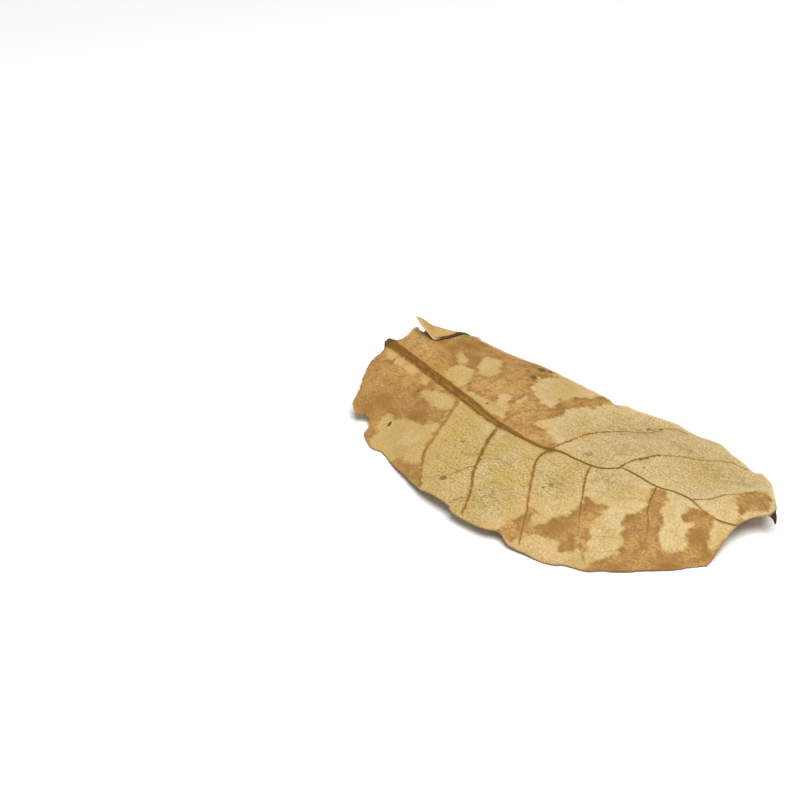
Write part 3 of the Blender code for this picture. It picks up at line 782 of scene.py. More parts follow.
def measure(places, midrib, sides, rungs, outline, corner):
    """What the shape and the material need to know at each plan place."""
    x = places[:, 0]
    offset, _ = offset_from(places, midrib)
    facts = {
        "midrib": np.clip(offset / profile(MIDRIB_WIDTHS, x) * 2, -MIDRIB_LIMIT, MIDRIB_LIMIT),
        "midrib_paint": np.clip(offset / profile(MIDRIB_PAINT_WIDTHS, x) * 2, -MIDRIB_LIMIT, MIDRIB_LIMIT),
        "midrib_plain": profile(MIDRIB_PLAIN, x),
    }

    gap = np.full(len(places), np.inf)
    for name in ("vein", "vein_tone", "vein_plain", "vein_rise"):
        facts[name] = np.zeros(len(places))
    for vein, line in zip(NEAR_VEINS + FAR_VEINS, sides):
        offset, share = offset_from(places, line)
        width, height = rib_sizes(share, x, False)
        painted = offset / (width * vein.spread) * 2
        closer = np.abs(painted) < gap
        gap = np.where(closer, np.abs(painted), gap)
        plain = vein.plain * np.clip(1 - (share - vein.holds) * SIDE_VEIN_DIMMING, SIDE_VEIN_TRACE, 1)
        tone = vein.tones[0] + (vein.tones[1] - vein.tones[0]) * share
        for name, value in (("vein", painted), ("vein_tone", tone), ("vein_plain", plain)):
            facts[name] = np.where(closer, value, facts[name])
        fade = np.clip((1 - share) / SIDE_VEIN_FADE, 0, 1)
        side = np.cos(np.clip(np.abs(offset / width * 2), 0, 1) * math.pi / 2)
        facts["vein_rise"] = np.maximum(facts["vein_rise"], height * fade * side ** SIDE_VEIN_ROUNDING)
    facts["vein"] = np.clip(facts["vein"], -VEIN_LIMIT, VEIN_LIMIT)
    facts["vein_gap"] = np.clip(gap, 0, VEIN_LIMIT)

    gap = np.full(len(places), np.inf)
    facts["twig"] = np.zeros(len(places))
    facts["twig_strength"] = np.zeros(len(places))
    for number, line in enumerate(rungs):
        offset, _ = offset_from(places, line)
        closer = np.abs(offset) < gap
        gap = np.where(closer, np.abs(offset), gap)
        facts["twig"] = np.where(closer, offset, facts["twig"])
        strength = 1.0 if number < len(TWIGS) else RUNG_STRENGTH
        facts["twig_strength"] = np.where(closer, strength, facts["twig_strength"])
    facts["twig"] = np.clip(facts["twig"], -TWIG_LIMIT, TWIG_LIMIT)
    facts["twig_gap"] = np.clip(gap, 0, TWIG_LIMIT)

    rim, _ = offset_from(places, np.vstack([outline, outline[:1]]))
    away, _ = offset_from(places, np.vstack([corner, corner[:1]]))
    folded = inside(places, corner) | (np.abs(away) < WELD)
    facts["rim"] = np.clip(np.abs(rim), 0, RIM_LIMIT)
    facts["folded"] = folded.astype(float)
    brown, light = blotches(places)
    depth = np.clip(np.minimum(brown, -light), -BLOTCH_LIMIT, BLOTCH_LIMIT)
    facts["brown"] = np.where(folded, -BLOTCH_LIMIT, depth)
    facts["calm"] = np.clip(np.maximum(light + CALM_RIM, 1 + brown / CALM_REACH), 0, 1)
    for name, spots in TINTS.items():
        facts[name] = tint(places, spots)

    nearest = np.full(len(places), np.inf)
    facts["spot_dark"] = np.zeros(len(places))
    for spot_x, spot_y, radius, dark in SPOTS:
        away = np.hypot(x - spot_x, places[:, 1] - spot_y) - radius
        facts["spot_dark"] = np.where(away < nearest, dark, facts["spot_dark"])
        nearest = np.minimum(nearest, away)
    facts["spot"] = np.clip(nearest, *SPOT_LIMITS)
    return facts


def midrib_rise(places, facts):
    """How far the midrib stands out: a flattened ridge with a furrow on its near side."""
    height = profile(MIDRIB_HEIGHTS, places[:, 0])
    place = np.clip(facts["midrib"], -1, 1)
    ridge = np.sqrt(np.clip(1 - np.abs(place) ** MIDRIB_ROUNDING, 0, 1))
    opens = np.clip((height - FURROW_START) / FURROW_START, 0, 1)
    furrow = opens * np.exp(-((place + FURROW_PLACE) / FURROW_WIDTH) ** 2)
    return height * ridge * (1 - FURROW_DEPTH * furrow)


def raise_blade(places, triangles, shape, facts):
    """Top and bottom of the leaf in mm, from its flat plan."""
    surface = np.column_stack([places, arch(places[:, 0], places[:, 1])])
    tip_start = min(x for x, y in DRIP_TIP)
    for i, (x, y) in enumerate(places):
        if facts["folded"][i]:
            surface[i] = fold_over(x, y)
        elif x > tip_start and tip_reach(x, y)[0] > 0:
            surface[i] = bend_tip(x, y)

    quilt = shape.quilt / MM * np.clip(facts["twig_gap"] / QUILT_REACH, 0, 1) ** QUILT_ROUNDING
    fine_crinkle = FINE_CRINKLE_SHARE * roughness(places, FINE_CRINKLE_SCALE, FINE_CRINKLE_SEED)
    crinkle = shape.crinkle / MM * (roughness(places, CRINKLE_SCALE) + fine_crinkle)
    blade = shape.thickness / MM
    surface += corner_normals(surface, triangles) * (quilt + crinkle + blade / 2)[:, None]
    normals = corner_normals(surface, triangles)
    thinning = np.clip(facts["rim"] / RIM_TAPER, 0, 1)
    half = blade / 2 * (RIM_THICKNESS + (1 - RIM_THICKNESS) * thinning)
    rise = np.maximum(midrib_rise(places, facts), facts["vein_rise"])
    twig = TWIG_HEIGHT * np.clip(1 - facts["twig_gap"] / TWIG_WIDTH, 0, 1)
    twig = twig * np.sqrt(facts["twig_strength"])
    from_lip = np.hypot(*(places - PINHOLE).T) - PINHOLE_LIP_RADIUS
    lip = PINHOLE_LIP * np.exp(-from_lip ** 2 / PINHOLE_LIP_SPREAD)
    top = surface + normals * (half + np.maximum(rise, twig) + lip)[:, None]
    bottom = surface - normals * (half - GROOVE_SHARE * rise)[:, None]
    settle = min(0, bottom[:, 2].min())
    top[:, 2] -= settle
    bottom[:, 2] -= settle
    return top, bottom


def corner_normals(surface, triangles):
    """Unit normals at the mesh corners, pointing up from the table."""
    a, b, c = (surface[triangles[:, k]] for k in range(3))
    facing = np.cross(b - a, c - a)
    normals = np.zeros_like(surface)
    for k in range(3):
        np.add.at(normals, triangles[:, k], facing)
    return normals / np.linalg.norm(normals, axis=1)[:, None]


def rim_edges(triangles):
    """Edges that belong to one triangle only, in the direction of that triangle."""
    edges = np.vstack([triangles[:, [0, 1]], triangles[:, [1, 2]], triangles[:, [2, 0]]])
    keys = np.sort(edges, axis=1)
    _, first, counts = np.unique(keys, axis=0, return_index=True, return_counts=True)
    return edges[first[counts == 1]]


def lay_out(mesh, places, triangles, rim):
    """A map that shows both faces one above the other, with the thin edge round the first one."""
    ahead = places[rim[:, 1]] - places[rim[:, 0]]
    outward = np.column_stack([ahead[:, 1], -ahead[:, 0]])
    outward /= np.linalg.norm(outward, axis=1)[:, None]
    out = np.zeros_like(places)
    for k in range(2):
        np.add.at(out, rim[:, k], outward)
    out /= np.maximum(np.linalg.norm(out, axis=1), TINY)[:, None]
    low = places.min(axis=0) - MAP_BORDER
    wide, deep = places.max(axis=0) - low + MAP_BORDER
    span = max(wide, 2 * deep)
    top = (places - low) / span
    bottom = top + (0, deep / span)
    skirt = (places + out * MAP_RIM_WIDTH - low) / span
    a, b = rim.T
    walls = np.stack([top[b], top[a], skirt[a], skirt[b]], axis=1)
    faces = [top[triangles], bottom[triangles[:, ::-1]], walls]
    loops = np.vstack([face.reshape(-1, 2) for face in faces])
    layer = mesh.uv_layers.new(name="OFBake")
    layer.data.foreach_set("uv", loops.astype(np.float32).ravel())


def leaf_mesh(shape):
    """The leaf as one closed mesh in metres, which starts where the solid leaf starts."""
    noise.seed_set(SEED)
    midrib, sides = rib_curves()
    places, triangles, outline, corner = plan_triangles(shape.pitch / MM, rib_lines(midrib, sides))
    facts = measure(places, midrib, sides, ladder(sides), outline, corner)
    surface = np.vstack(raise_blade(places, triangles, shape, facts))
    corners = (surface - surface.min(axis=0)) * MM + np.array(LEAF_LOW)

    rim = rim_edges(triangles)
    count = len(places)
    a, b = rim.T
    walls = np.column_stack([b, a, a + count, b + count])
    faces = triangles.tolist() + (triangles[:, ::-1] + count).tolist() + walls.tolist()
    mesh = bpy.data.meshes.new("dry_leaf")
    mesh.from_pydata(corners.tolist(), [], faces)
    mesh.shade_smooth()
    mesh.set_sharp_from_angle(angle=SHARP_ANGLE)
    lay_out(mesh, places, triangles, rim)

    hidden = np.repeat([0.0, 1.0], count)
    plan = np.column_stack([np.vstack([places, places]), hidden * HIDDEN_SHIFT])
    layer = mesh.attributes.new("plan", "FLOAT_VECTOR", "POINT")
    layer.data.foreach_set("vector", plan.astype(np.float32).ravel())
    facts = {name: np.tile(values, 2) for name, values in facts.items()}
    facts["hidden"] = hidden
    for name, values in facts.items():
        layer = mesh.attributes.new(name, "FLOAT", "POINT")
        layer.data.foreach_set("value", values.astype(np.float32))
    return mesh


class Graph:
    """Adds nodes to a material, each linked to the ones before it."""

    def __init__(self, name):
        self.material = bpy.data.materials.new(name)
        self.material.use_nodes = True
        self.tree = self.material.node_tree
        self.shader = self.tree.nodes["Principled BSDF"]

    def add(self, kind, inputs, **settings):
        """Add a node, set its options and link or set its inputs."""
        node = self.tree.nodes.new(kind)
        for name, value in settings.items():
            setattr(node, name, value)
        for key, value in inputs.items():
            if isinstance(value, bpy.types.NodeSocket):
                self.tree.links.new(value, node.inputs[key])
            else:
                node.inputs[key].default_value = value
        return node

    def attribute(self, name):
        """A number kept at the mesh corners."""
        return self.add("ShaderNodeAttribute", {}, attribute_name=name).outputs["Fac"]

    def math(self, operation, *values):
        """One sum on numbers."""
        return self.add("ShaderNodeMath", dict(enumerate(values)), operation=operation).outputs[0]

    def times(self, first, second):
        """One number times another."""
        return self.math("MULTIPLY", first, second)

    def plus(self, first, second):
        """One number plus another."""
        return self.math("ADD", first, second)

    def sway(self, noise, size):
        """A noise as a shift of up to half the size either way."""
        return self.math("MULTIPLY_ADD", noise, size, -size / 2)

    def ramp(self, value, low, high, start=0.0, end=1.0):
        """A smooth step from start to end as the value goes from low to high."""
        inputs = {"Value": value, "From Min": low, "From Max": high, "To Min": start, "To Max": end}
        return self.add("ShaderNodeMapRange", inputs, interpolation_type="SMOOTHSTEP").outputs[0]

    def noise(self, vector, scale, detail=2.0, rough=0.5):
        """Cloudy noise between 0 and 1."""
        inputs = {"Vector": vector, "Scale": scale, "Detail": detail, "Roughness": rough}
        return self.add("ShaderNodeTexNoise", inputs).outputs[0]

    def cell_edge(self, vector, scale):
        """Distance to the nearest edge of a random cell."""
        inputs = {"Vector": vector, "Scale": scale}
        return self.add("ShaderNodeTexVoronoi", inputs, feature="DISTANCE_TO_EDGE").outputs[0]

    def mix(self, factor, first, second, blend="MIX"):
        """One colour blended into another."""
        node = self.add("ShaderNodeMix", {0: factor}, data_type="RGBA", blend_type=blend)
        for index, value in ((6, first), (7, second)):
            if isinstance(value, bpy.types.NodeSocket):
                self.tree.links.new(value, node.inputs[index])
            else:
                node.inputs[index].default_value = (*value[:3], 1.0)
        return node.outputs[2]

    def bump(self, height, distance, normal=None):
        """Relief of a given depth in metres, on top of the relief before it."""
        inputs = {"Height": height, "Distance": distance, "Strength": 1.0}
        if normal is not None:
            inputs["Normal"] = normal
        return self.add("ShaderNodeBump", inputs).outputs[0]


class LeafGraph(Graph):
    """The leaf's material: a colour that is painted over step by step."""

    def __init__(self, colours):
        super().__init__("dry_leaf")
        self.tones = colours
        self.plan = self.add("ShaderNodeAttribute", {}, attribute_name="plan").outputs["Vector"]
        axes = self.add("ShaderNodeSeparateXYZ", {0: self.plan}).outputs
        self.along, self.across = axes[0], axes[1]
        self.broad = self.noise(self.plan, *BROAD_NOISE)
        self.cloud = self.noise(self.plan, *CLOUD_NOISE)
        self.patchy = self.noise(self.plan, *PATCHY_NOISE)
        self.fine = self.noise(self.plan, *FINE_NOISE)
        self.grain = self.noise(self.plan, *GRAIN_NOISE)
        self.colour = None

    def paint(self, factor, tone):
        """Paint one tone over the colour."""
        self.colour = self.mix(factor, self.colour, tone)

    def tinge(self, name, low, high, least, most):
        """Strength of a soft tint, made patchy: least where the patches are low, most where high."""
        return self.times(self.attribute(name), self.ramp(self.patchy, low, high, least, most))

    def straw_tone(self, peach):
        """Light parts: straw, deeper at the base and at the near side of the tip, with its grain."""
        tones = self.tones
        lean = self.math("MULTIPLY_ADD", self.along, STRAW_LEAN_ALONG, self.broad)
        slant = self.times(self.across, self.ramp(self.along, *STRAW_SLANT_STARTS))
        lean = self.math("MULTIPLY_ADD", slant, STRAW_LEAN_ACROSS, lean)
        straw = self.mix(self.ramp(lean, 0.36, 0.66), tones.straw, tones.straw_deep)
        straw = self.mix(self.tinge("yellow", 0.3, 0.65, 0.3, 0.9), straw, tones.yellow)
        straw = self.mix(self.tinge("grey", 0.42, 0.62, 0.1, 0.95), straw, tones.grey)
        straw = self.mix(self.ramp(self.patchy, 0.48, 0.62, 0.0, 0.6), straw, tones.straw_deep)
        straw = self.mix(peach, straw, tones.peach)

        rough = self.ramp(self.attribute("calm"), 0.0, 1.0, 1.0, CALM_GRAIN)
        dark = self.times(self.ramp(self.grain, 0.36, 0.54, DARK_GRAIN, 0.0), rough)
        light = self.times(self.ramp(self.grain, 0.52, 0.66, 0.0, LIGHT_GRAIN), rough)
        straw = self.mix(dark, straw, tones.speck)
        return self.mix(light, straw, tones.pale)

    def brown_tone(self, peach):
        """Blotches: golden brown with soft tints, deeper patches, dark grain and light flecks."""
        tones = self.tones
        brown = self.mix(self.ramp(self.cloud, 0.42, 0.58), tones.brown, tones.mauve)
        for name, strength in BROWN_TINTS.items():
            brown = self.mix(self.times(self.attribute(name), strength), brown, getattr(tones, name))
        brown = self.mix(peach, brown, tones.tan)
        # Where the dark tint lies just under the folded corner, its deeper brown is painted shade.
        deeper = (
            self.times(self.attribute("dark"), 0.85),
            self.ramp(self.patchy, 0.46, 0.66, 0.0, 0.6),
            self.ramp(self.fine, 0.5, 0.64, 0.0, 0.35),
            self.ramp(self.grain, 0.38, 0.52, 0.65, 0.0),
        )
        for factor in deeper:
            brown = self.mix(factor, brown, tones.brown_deep)
        fleck = self.times(self.ramp(self.grain, 0.52, 0.68, 0.0, 0.5),
                           self.ramp(self.attribute("dark"), 0.0, 1.0, 1.0, 0.3))
        return self.mix(fleck, brown, tones.fleck)

    def paint_blade(self):
        """Straw, and over it the brown blotches, ragged and often darker at their edges."""
        peach = self.tinge("peach", 0.3, 0.6, 0.4, 0.8)
        straw = self.straw_tone(peach)
        brown = self.brown_tone(peach)
        depth = self.math("MULTIPLY_ADD", self.patchy, BLOTCH_RAGGED, self.attribute("brown"))
        depth = self.math("MULTIPLY_ADD", self.fine, BLOTCH_FRAYED, depth)
        edge = self.times(self.ramp(depth, 1.7, 2.5), self.ramp(depth, 2.7, 4.4, 1.0, 0.0))
        edge = self.times(edge, self.ramp(self.cloud, 0.44, 0.6, 0.0, 0.6))
        brown = self.mix(edge, brown, self.tones.brown_deep)
        self.colour = self.mix(self.ramp(depth, 1.2, 2.7), straw, brown)

    def paint_net(self):
        """Net of veinlets, and small veins between the side veins. Returns the net for its relief."""
        shift = self.add("ShaderNodeTexNoise", {"Vector": self.plan, "Scale": NET_STRAY_SCALE}).outputs[1]
        stray = self.add("ShaderNodeVectorMath", {0: shift, 1: self.plan}, operation="ADD").outputs[0]
        wide_net = self.ramp(self.cell_edge(stray, NET_SCALE), 0.02, 0.16, 1.0, 0.0)
        small_net = self.ramp(self.cell_edge(stray, SMALL_NET_SCALE), 0.02, 0.22, 1.0, 0.0)
        net = self.math("MAXIMUM", wide_net, self.times(small_net, SMALL_NET_STRENGTH))
        self.paint(self.times(net, NET_STRENGTH), self.tones.vein_dark)

        side = self.math("ABSOLUTE", self.plus(self.attribute("twig"), self.sway(self.fine, TWIG_SWAY)))
        near = self.ramp(self.attribute("twig_gap"), 0.5, 0.9, 1.0, 0.0)
        twig = self.times(self.ramp(side, 0.08, 0.32, 1.0, 0.0), near)
        twig = self.times(twig, self.attribute("twig_strength"))
        twig = self.times(twig, self.ramp(self.patchy, 0.35, 0.6, 0.4, 0.95))
        self.paint(twig, self.tones.vein_dark)
        return net

    def paint_side_veins(self):
        """Side veins, knotty and uneven, with a brownish edge."""
        tones = self.tones
        gap = self.attribute("vein_gap")
        plain = self.attribute("vein_plain")
        halo = self.times(self.ramp(gap, 0.6, 4.0, 0.5, 0.0), plain)
        halo = self.times(halo, self.ramp(self.patchy, 0.4, 0.6, 0.3, 1.0))
        self.paint(halo, tones.vein_edge)

        side = self.math("ABSOLUTE", self.plus(self.attribute("vein"), self.sway(self.fine, VEIN_SWAY)))
        side = self.plus(side, self.sway(self.grain, VEIN_KNOTS))
        body = self.times(self.ramp(side, 0.55, 1.25, 1.0, 0.0), self.ramp(gap, 1.4, 2.2, 1.0, 0.0))
        uneven = self.times(plain, self.ramp(self.patchy, 0.36, 0.56, 0.65, 1.0))
        lean = self.plus(self.attribute("vein_tone"), self.sway(self.patchy, VEIN_TONE_SWAY))
        tone = self.mix(self.ramp(lean, 0.1, 0.6), tones.vein_dark, tones.vein_gold)
        tone = self.mix(self.ramp(lean, 0.5, 1.0), tone, tones.vein_red)
        self.paint(self.times(body, uneven), tone)

    def midrib_tone(self, place, fibre):
        """Fibres of the midrib, darker at its torn end, with a lighter furrow and a dark near foot that
        partly paint light and shade, and dark as it thins.
        """
        tones = self.tones
        tone = self.mix(self.ramp(fibre, 0.36, 0.62), tones.midrib, tones.midrib_deep)
        tone = self.mix(self.ramp(self.patchy, 0.5, 0.66, 0.0, 0.75), tone, tones.vein_red)
        tone = self.mix(self.ramp(self.along, *TORN_END_FADES, 0.35, 0.0), tone, tones.midrib_deep)

        # The lighter strip in the furrow and the dark line at the near foot are partly painted light and
        # shade across the midrib, over its lowered relief.
        middle = self.math("ABSOLUTE", self.plus(place, self.math("MULTIPLY_ADD", fibre, 0.3, 0.2)))
        span = self.times(self.ramp(self.along, *FURROW_OPENS),
                          self.ramp(self.along, *FURROW_CLOSES, 1.0, 0.0))
        furrow = self.times(self.ramp(middle, 0.1, 0.36, 0.35, 0.0), span)
        tone = self.mix(furrow, tone, tones.furrow)
        foot = self.times(self.ramp(place, -0.8, -0.62, 0.7, 0.0), span)
        tone = self.mix(foot, tone, tones.midrib_deep)

        tone = self.mix(self.ramp(self.along, *MIDRIB_REDDENS, 0.0, 0.35), tone, tones.vein_red)
        near_side = self.times(self.ramp(place, -0.8, 0.5, 0.7, 0.0),
                               self.ramp(self.along, *NEAR_SIDE_DARKENS))
        tone = self.mix(near_side, tone, tones.vein_dark)
        return self.mix(self.ramp(self.along, *MIDRIB_THINS, 0.0, 0.85), tone, tones.vein_dark)

    def paint_midrib(self):
        """Midrib, with a brownish edge. Returns its fibres and where it is, for its relief."""
        place = self.attribute("midrib_paint")
        streaks = {0: self.times(self.along, FIBRE_SHARE_ALONG), 1: self.attribute("midrib")}
        fibre = self.noise(self.add("ShaderNodeCombineXYZ", streaks).outputs[0], *FIBRE_NOISE)
        tone = self.midrib_tone(place, fibre)

        edge = self.plus(self.math("ABSOLUTE", place), self.sway(self.grain, MIDRIB_KNOTS))
        edge = self.plus(edge, self.sway(self.patchy, MIDRIB_SWAY))
        plain = self.attribute("midrib_plain")
        self.paint(self.times(self.ramp(edge, 0.9, 2.4, 0.45, 0.0), plain), self.tones.vein_edge)
        body = self.times(self.ramp(edge, 0.72, 1.12, 1.0, 0.0), plain)
        self.paint(body, tone)
        return fibre, body

    def paint_marks(self):
        """Stains at the veins, small spots, the rim with a painted highlight on the far side, the folded
        corner with a painted shadow line at its edge, the stub, and the drip tip darkened by painted shade.
        """
        tones = self.tones
        stain = self.tinge("stain", 0.35, 0.6, 0.5, 1.0)
        self.paint(self.ramp(stain, 0.2, 0.8, 0.0, 0.75), tones.midrib_deep)
        spot = self.plus(self.fine, self.attribute("spot"))
        spot = self.times(self.ramp(spot, 0.35, 0.65, 1.0, 0.0), self.attribute("spot_dark"))
        self.paint(spot, tones.spot)

        # Along the rim: a thin darker line on the near margin, and on the far margin a thin line and a wider
        # band of painted highlight where the edge catches the light.
        near_rim = self.math("MULTIPLY_ADD", self.patchy, -RIM_RAGGED, self.attribute("rim"))
        thin = self.ramp(near_rim, -0.35, 0.15, 0.55, 0.0)
        far_side = self.ramp(self.across, *HIGHLIGHT_RIM_STARTS)
        self.paint(thin, self.mix(far_side, tones.rim, tones.rim_highlight))
        wide = self.times(self.ramp(near_rim, 0.0, 1.0, 0.35, 0.0), far_side)
        self.paint(wide, tones.rim_highlight)

        folded = self.attribute("folded")
        # Patchy duller brown over the folded corner.
        flap_dulling = self.times(folded, self.ramp(self.patchy, 0.4, 0.6, 0.2, 0.75))
        self.paint(self.times(self.attribute("hidden"), HIDDEN_FADING), tones.straw_deep)
        self.paint(flap_dulling, tones.mauve)
        # Dark band along the free edge of the folded corner: a scorched edge, widened into a painted shadow
        # line under that edge.
        scorch_and_shadow = self.math("MULTIPLY_ADD", self.fine, SCORCH_AND_SHADOW_RAGGED, self.attribute("rim"))
        scorch_and_shadow = self.times(self.ramp(scorch_and_shadow, 0.9, 1.4, 0.95, 0.0), self.ramp(self.along, *SCORCH_AND_SHADOW_STARTS))
        self.paint(self.times(scorch_and_shadow, folded), tones.scorch_and_shadow)

        side = self.math("ABSOLUTE", self.attribute("midrib"))
        stub = self.times(self.ramp(self.along, *STUB_FADES, 0.9, 0.0), self.ramp(side, 1.1, 1.7, 1.0, 0.0))
        self.paint(stub, tones.stub)
        # The bent-down drip tip is painted almost black: a dried tip, with the shade under its curl painted
        # in.
        self.paint(self.ramp(self.along, *DRIP_TIP_STARTS), tones.drip_tip_and_shade)


def leaf_material(colours):
    """Dried leaf: straw with brown blotches, brown ribs, a net of veinlets and small spots."""
    g = LeafGraph(colours)
    g.paint_blade()
    net = g.paint_net()
    g.paint_side_veins()
    fibre, midrib = g.paint_midrib()
    g.paint_marks()

    g.tree.links.new(g.colour, g.shader.inputs["Base Color"])
    g.tree.links.new(g.ramp(g.fine, 0.2, 0.8, *LEAF_ROUGHNESS), g.shader.inputs["Roughness"])
    g.shader.inputs["Specular IOR Level"].default_value = LEAF_SPECULAR
    normal = g.bump(g.grain, GRAIN_RELIEF)
    normal = g.bump(net, NET_RELIEF, normal)
    normal = g.bump(g.fine, FINE_RELIEF, normal)
    strands = g.times(g.times(fibre, midrib), g.ramp(g.along, *STRANDS_FADE, 1.0, 0.0))
    normal = g.bump(strands, STRAND_RELIEF, normal)
    g.tree.links.new(normal, g.shader.inputs["Normal"])
    return g.material


def floor_material(settings):
    """Matt pale floor with a very faint unevenness."""
    g = Graph("pale_floor")
    place = g.add("ShaderNodeTexCoord", {}).outputs["Object"]
    cloud = g.noise(place, FLOOR_CLOUDS)
    shade = tuple(FLOOR_SHADE * c for c in settings.floor)
    g.tree.links.new(g.mix(cloud, settings.floor, shade), g.shader.inputs["Base Color"])
    g.shader.inputs["Roughness"].default_value = FLOOR_ROUGHNESS
    return g.material


def add_object(name, data):
    """Put an object in the scene."""
    thing = bpy.data.objects.new(name, data)
    bpy.context.scene.collection.objects.link(thing)
    return thing


def look_at(thing, target):
    """Turn a camera or a light towards a place."""
    thing.rotation_euler = (Vector(target) - thing.location).to_track_quat("-Z", "Y").to_euler()


def around(target, azimuth, elevation, distance):
    """A place round a target: azimuth 0 is in front of it, and 90 degrees is on its right."""
    side = math.sin(azimuth) * math.cos(elevation)
    front = -math.cos(azimuth) * math.cos(elevation)
    return Vector(target) + distance * Vector((side, front, math.sin(elevation)))


class LeafShape(bpy.types.PropertyGroup):
    """Sizes of the leaf that the solid part leaves open."""

    pitch: FloatProperty(name="Mesh pitch", description="Distance between corners of the mesh",
                         default=0.56 * MM, min=0.3 * MM, unit="LENGTH", precision=5)
    thickness: FloatProperty(name="Blade", description="Thickness of the blade away from its margin",
                             default=0.42 * MM, min=0.1 * MM, unit="LENGTH", precision=5)
    quilt: FloatProperty(name="Quilting", description="How far the blade swells between small veins",
                         default=0.12 * MM, unit="LENGTH", precision=5)
    crinkle: FloatProperty(name="Crinkle", description="Height of the random waves of the dried blade",
                           default=0.35 * MM, unit="LENGTH", precision=5)


def colour_property(name, description, default):
    """A colour that a user can pick."""
    return FloatVectorProperty(name=name, description=description, default=default,
                               subtype="COLOR", min=0, max=1)


class LeafColours(bpy.types.PropertyGroup):
    """Colours of the dried leaf."""

    straw: colour_property("Straw", "Light parts of the blade", paint(207, 182, 132))
    straw_deep: colour_property("Deep straw", "Deeper tone of the light parts", paint(193, 163, 100))
    pale: colour_property("Pale grain", "Lightest grain of the light parts", paint(221, 200, 152))
    peach: colour_property("Peach", "Reddish tinge of the light parts", paint(214, 174, 124))
    speck: colour_property("Dark grain", "Darkest grain of the light parts", paint(132, 108, 58))
    yellow: colour_property("Yellow", "Yellow tinge", paint(194, 158, 76))
    grey: colour_property("Grey", "Grey-green tinge of the light parts", paint(146, 130, 80))
    brown: colour_property("Brown", "Golden brown of the blotches", paint(185, 143, 78))
    mauve: colour_property("Dull brown", "Duller brown of the blotches", paint(174, 131, 78))
    tan: colour_property("Tan", "Lightest brown of the blotches", paint(208, 170, 104))
    brown_deep: colour_property("Deep brown", "Darker parts of the blotches", paint(140, 98, 42))
    fleck: colour_property("Fleck", "Lighter flecks in the blotches", paint(206, 167, 116))
    vein_dark: colour_property("Dark vein", "Olive-brown veins and veinlets", paint(102, 75, 14))
    vein_gold: colour_property("Golden vein", "Golden brown stretches of the veins", paint(134, 98, 30))
    vein_red: colour_property("Red vein", "Red-brown veins", paint(134, 86, 30))
    vein_edge: colour_property("Vein edge", "Brownish edge of the veins", paint(172, 132, 70))
    midrib: colour_property("Midrib", "Crest of the midrib", paint(138, 96, 26))
    midrib_deep: colour_property("Deep midrib", "Darker fibres of the midrib", paint(104, 70, 10))
    furrow: colour_property("Furrow", "Lighter furrow of the midrib, partly painted light", paint(172, 130, 52))
    spot: colour_property("Spot", "Small dark spots", paint(88, 58, 22))
    rim: colour_property("Rim", "Thin darker line along the near margin", paint(150, 110, 72))
    rim_highlight: colour_property("Highlight on the far rim", "Painted highlight along the far margin", paint(226, 206, 170))
    scorch_and_shadow: colour_property("Scorched edge and shadow line", "Dark edge of the folded corner, widened by a painted shadow line", paint(70, 34, 6))
    stub: colour_property("Stub", "Torn end of the midrib", paint(84, 68, 28))
    drip_tip_and_shade: colour_property("Drip tip", "Dried point of the leaf, darkened further by painted shade", paint(58, 28, 8))


class StageSettings(bpy.types.PropertyGroup):
    """Floor, light and camera."""

    floor: colour_property("Floor", "Pale floor", (0.93, 0.93, 0.92))
    sky: FloatProperty(name="Sky", description="Strength of the even light", default=0.40, min=0)
    key: FloatProperty(name="Soft box", description="Power of the large soft light",
                       default=15.0, min=0, unit="POWER")
    azimuth: FloatProperty(name="Azimuth", description="Where the camera stands round the leaf",
                           default=math.radians(40), subtype="ANGLE")
    elevation: FloatProperty(name="Elevation", description="How far the camera looks down",
                             default=math.radians(32), subtype="ANGLE")
    distance: FloatProperty(name="Distance", description="From the camera to the middle of the picture",
                            default=0.65, unit="LENGTH")
    lens: FloatProperty(name="Lens", description="Focal length in millimetres",
                        default=97.5, subtype="DISTANCE_CAMERA")


class DRYLEAF_OT_leaf(bpy.types.Operator):
    """Build the dried leaf in place of the solid one"""

    bl_idname = "dryleaf.leaf"
    bl_label = "Build the leaf"

    def execute(self, context):
        settings = context.scene
        leaf = add_object("dry_leaf", leaf_mesh(settings.leaf_shape))
        leaf.data.materials.append(leaf_material(settings.leaf_colours))
        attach(leaf, "root")
        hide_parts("leaf")
        return {"FINISHED"}


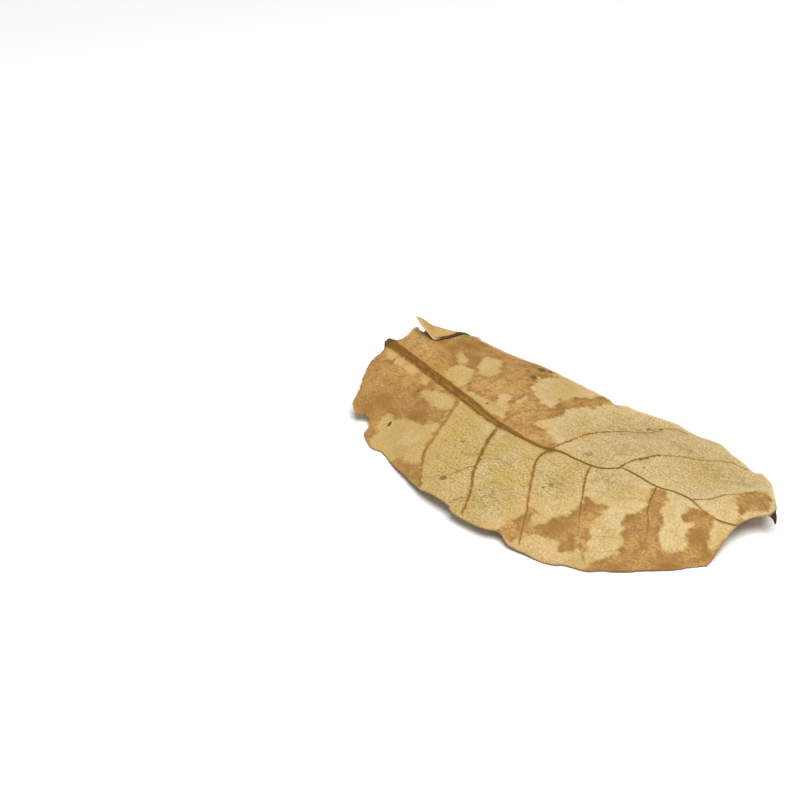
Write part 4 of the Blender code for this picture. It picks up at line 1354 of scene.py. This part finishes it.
class DRYLEAF_OT_stage(bpy.types.Operator):
    """Lay the floor, set the light and place the camera"""

    bl_idname = "dryleaf.stage"
    bl_label = "Set the stage"

    def execute(self, context):
        settings = context.scene.leaf_stage
        mesh = bpy.data.meshes.new("floor")
        turns = ((-1, -1), (1, -1), (1, 1), (-1, 1))
        corners = [(x * FLOOR_REACH, y * FLOOR_REACH, 0) for x, y in turns]
        mesh.from_pydata(corners, [], [(0, 1, 2, 3)])
        floor = add_object("floor", mesh)
        mesh.materials.append(floor_material(settings))

        world = bpy.data.worlds.new("studio")
        world.use_nodes = True
        background = world.node_tree.nodes["Background"]
        background.inputs["Color"].default_value = (1, 1, 1, 1)
        background.inputs["Strength"].default_value = settings.sky
        context.scene.world = world
        context.scene.view_settings.view_transform = "Standard"

        box = bpy.data.lights.new("soft_box", "AREA")
        box.shape = "DISK"
        box.size = SOFT_BOX_SIZE
        box.energy = settings.key
        light = add_object("soft_box", box)
        light.location = around((0, 0, 0), SOFT_BOX_AZIMUTH, SOFT_BOX_ELEVATION, SOFT_BOX_DISTANCE)
        look_at(light, (0, 0, 0))

        camera = bpy.data.cameras.new("camera")
        camera.lens = settings.lens
        camera.clip_start = CAMERA_NEAR
        viewer = add_object("camera", camera)
        viewer.location = around(CAMERA_AIM, settings.azimuth, settings.elevation, settings.distance)
        look_at(viewer, CAMERA_AIM)
        context.scene.camera = viewer
        return {"FINISHED"}


class DRYLEAF_PT_panel(bpy.types.Panel):
    """Sizes and colours of the dried leaf"""

    bl_idname = "DRYLEAF_PT_panel"
    bl_label = "Dry leaf"
    bl_space_type = "VIEW_3D"
    bl_region_type = "UI"
    bl_category = "Dry leaf"

    def draw(self, context):
        groups = (
            (context.scene.leaf_shape, DRYLEAF_OT_leaf),
            (context.scene.leaf_colours, None),
            (context.scene.leaf_stage, DRYLEAF_OT_stage),
        )
        for group, operator in groups:
            box = self.layout.box()
            for name in group.__annotations__:
                box.prop(group, name)
            if operator:
                box.operator(operator.bl_idname)


CLASSES = (LeafShape, LeafColours, StageSettings, DRYLEAF_OT_leaf, DRYLEAF_OT_stage, DRYLEAF_PT_panel)


def register():
    for kind in CLASSES:
        bpy.utils.register_class(kind)
    bpy.types.Scene.leaf_shape = PointerProperty(type=LeafShape)
    bpy.types.Scene.leaf_colours = PointerProperty(type=LeafColours)
    bpy.types.Scene.leaf_stage = PointerProperty(type=StageSettings)


def unregister():
    del bpy.types.Scene.leaf_stage
    del bpy.types.Scene.leaf_colours
    del bpy.types.Scene.leaf_shape
    for kind in reversed(CLASSES):
        bpy.utils.unregister_class(kind)


def main():
    register()
    bpy.ops.dryleaf.leaf()
    bpy.ops.dryleaf.stage()


if __name__ == "__main__":
    main()
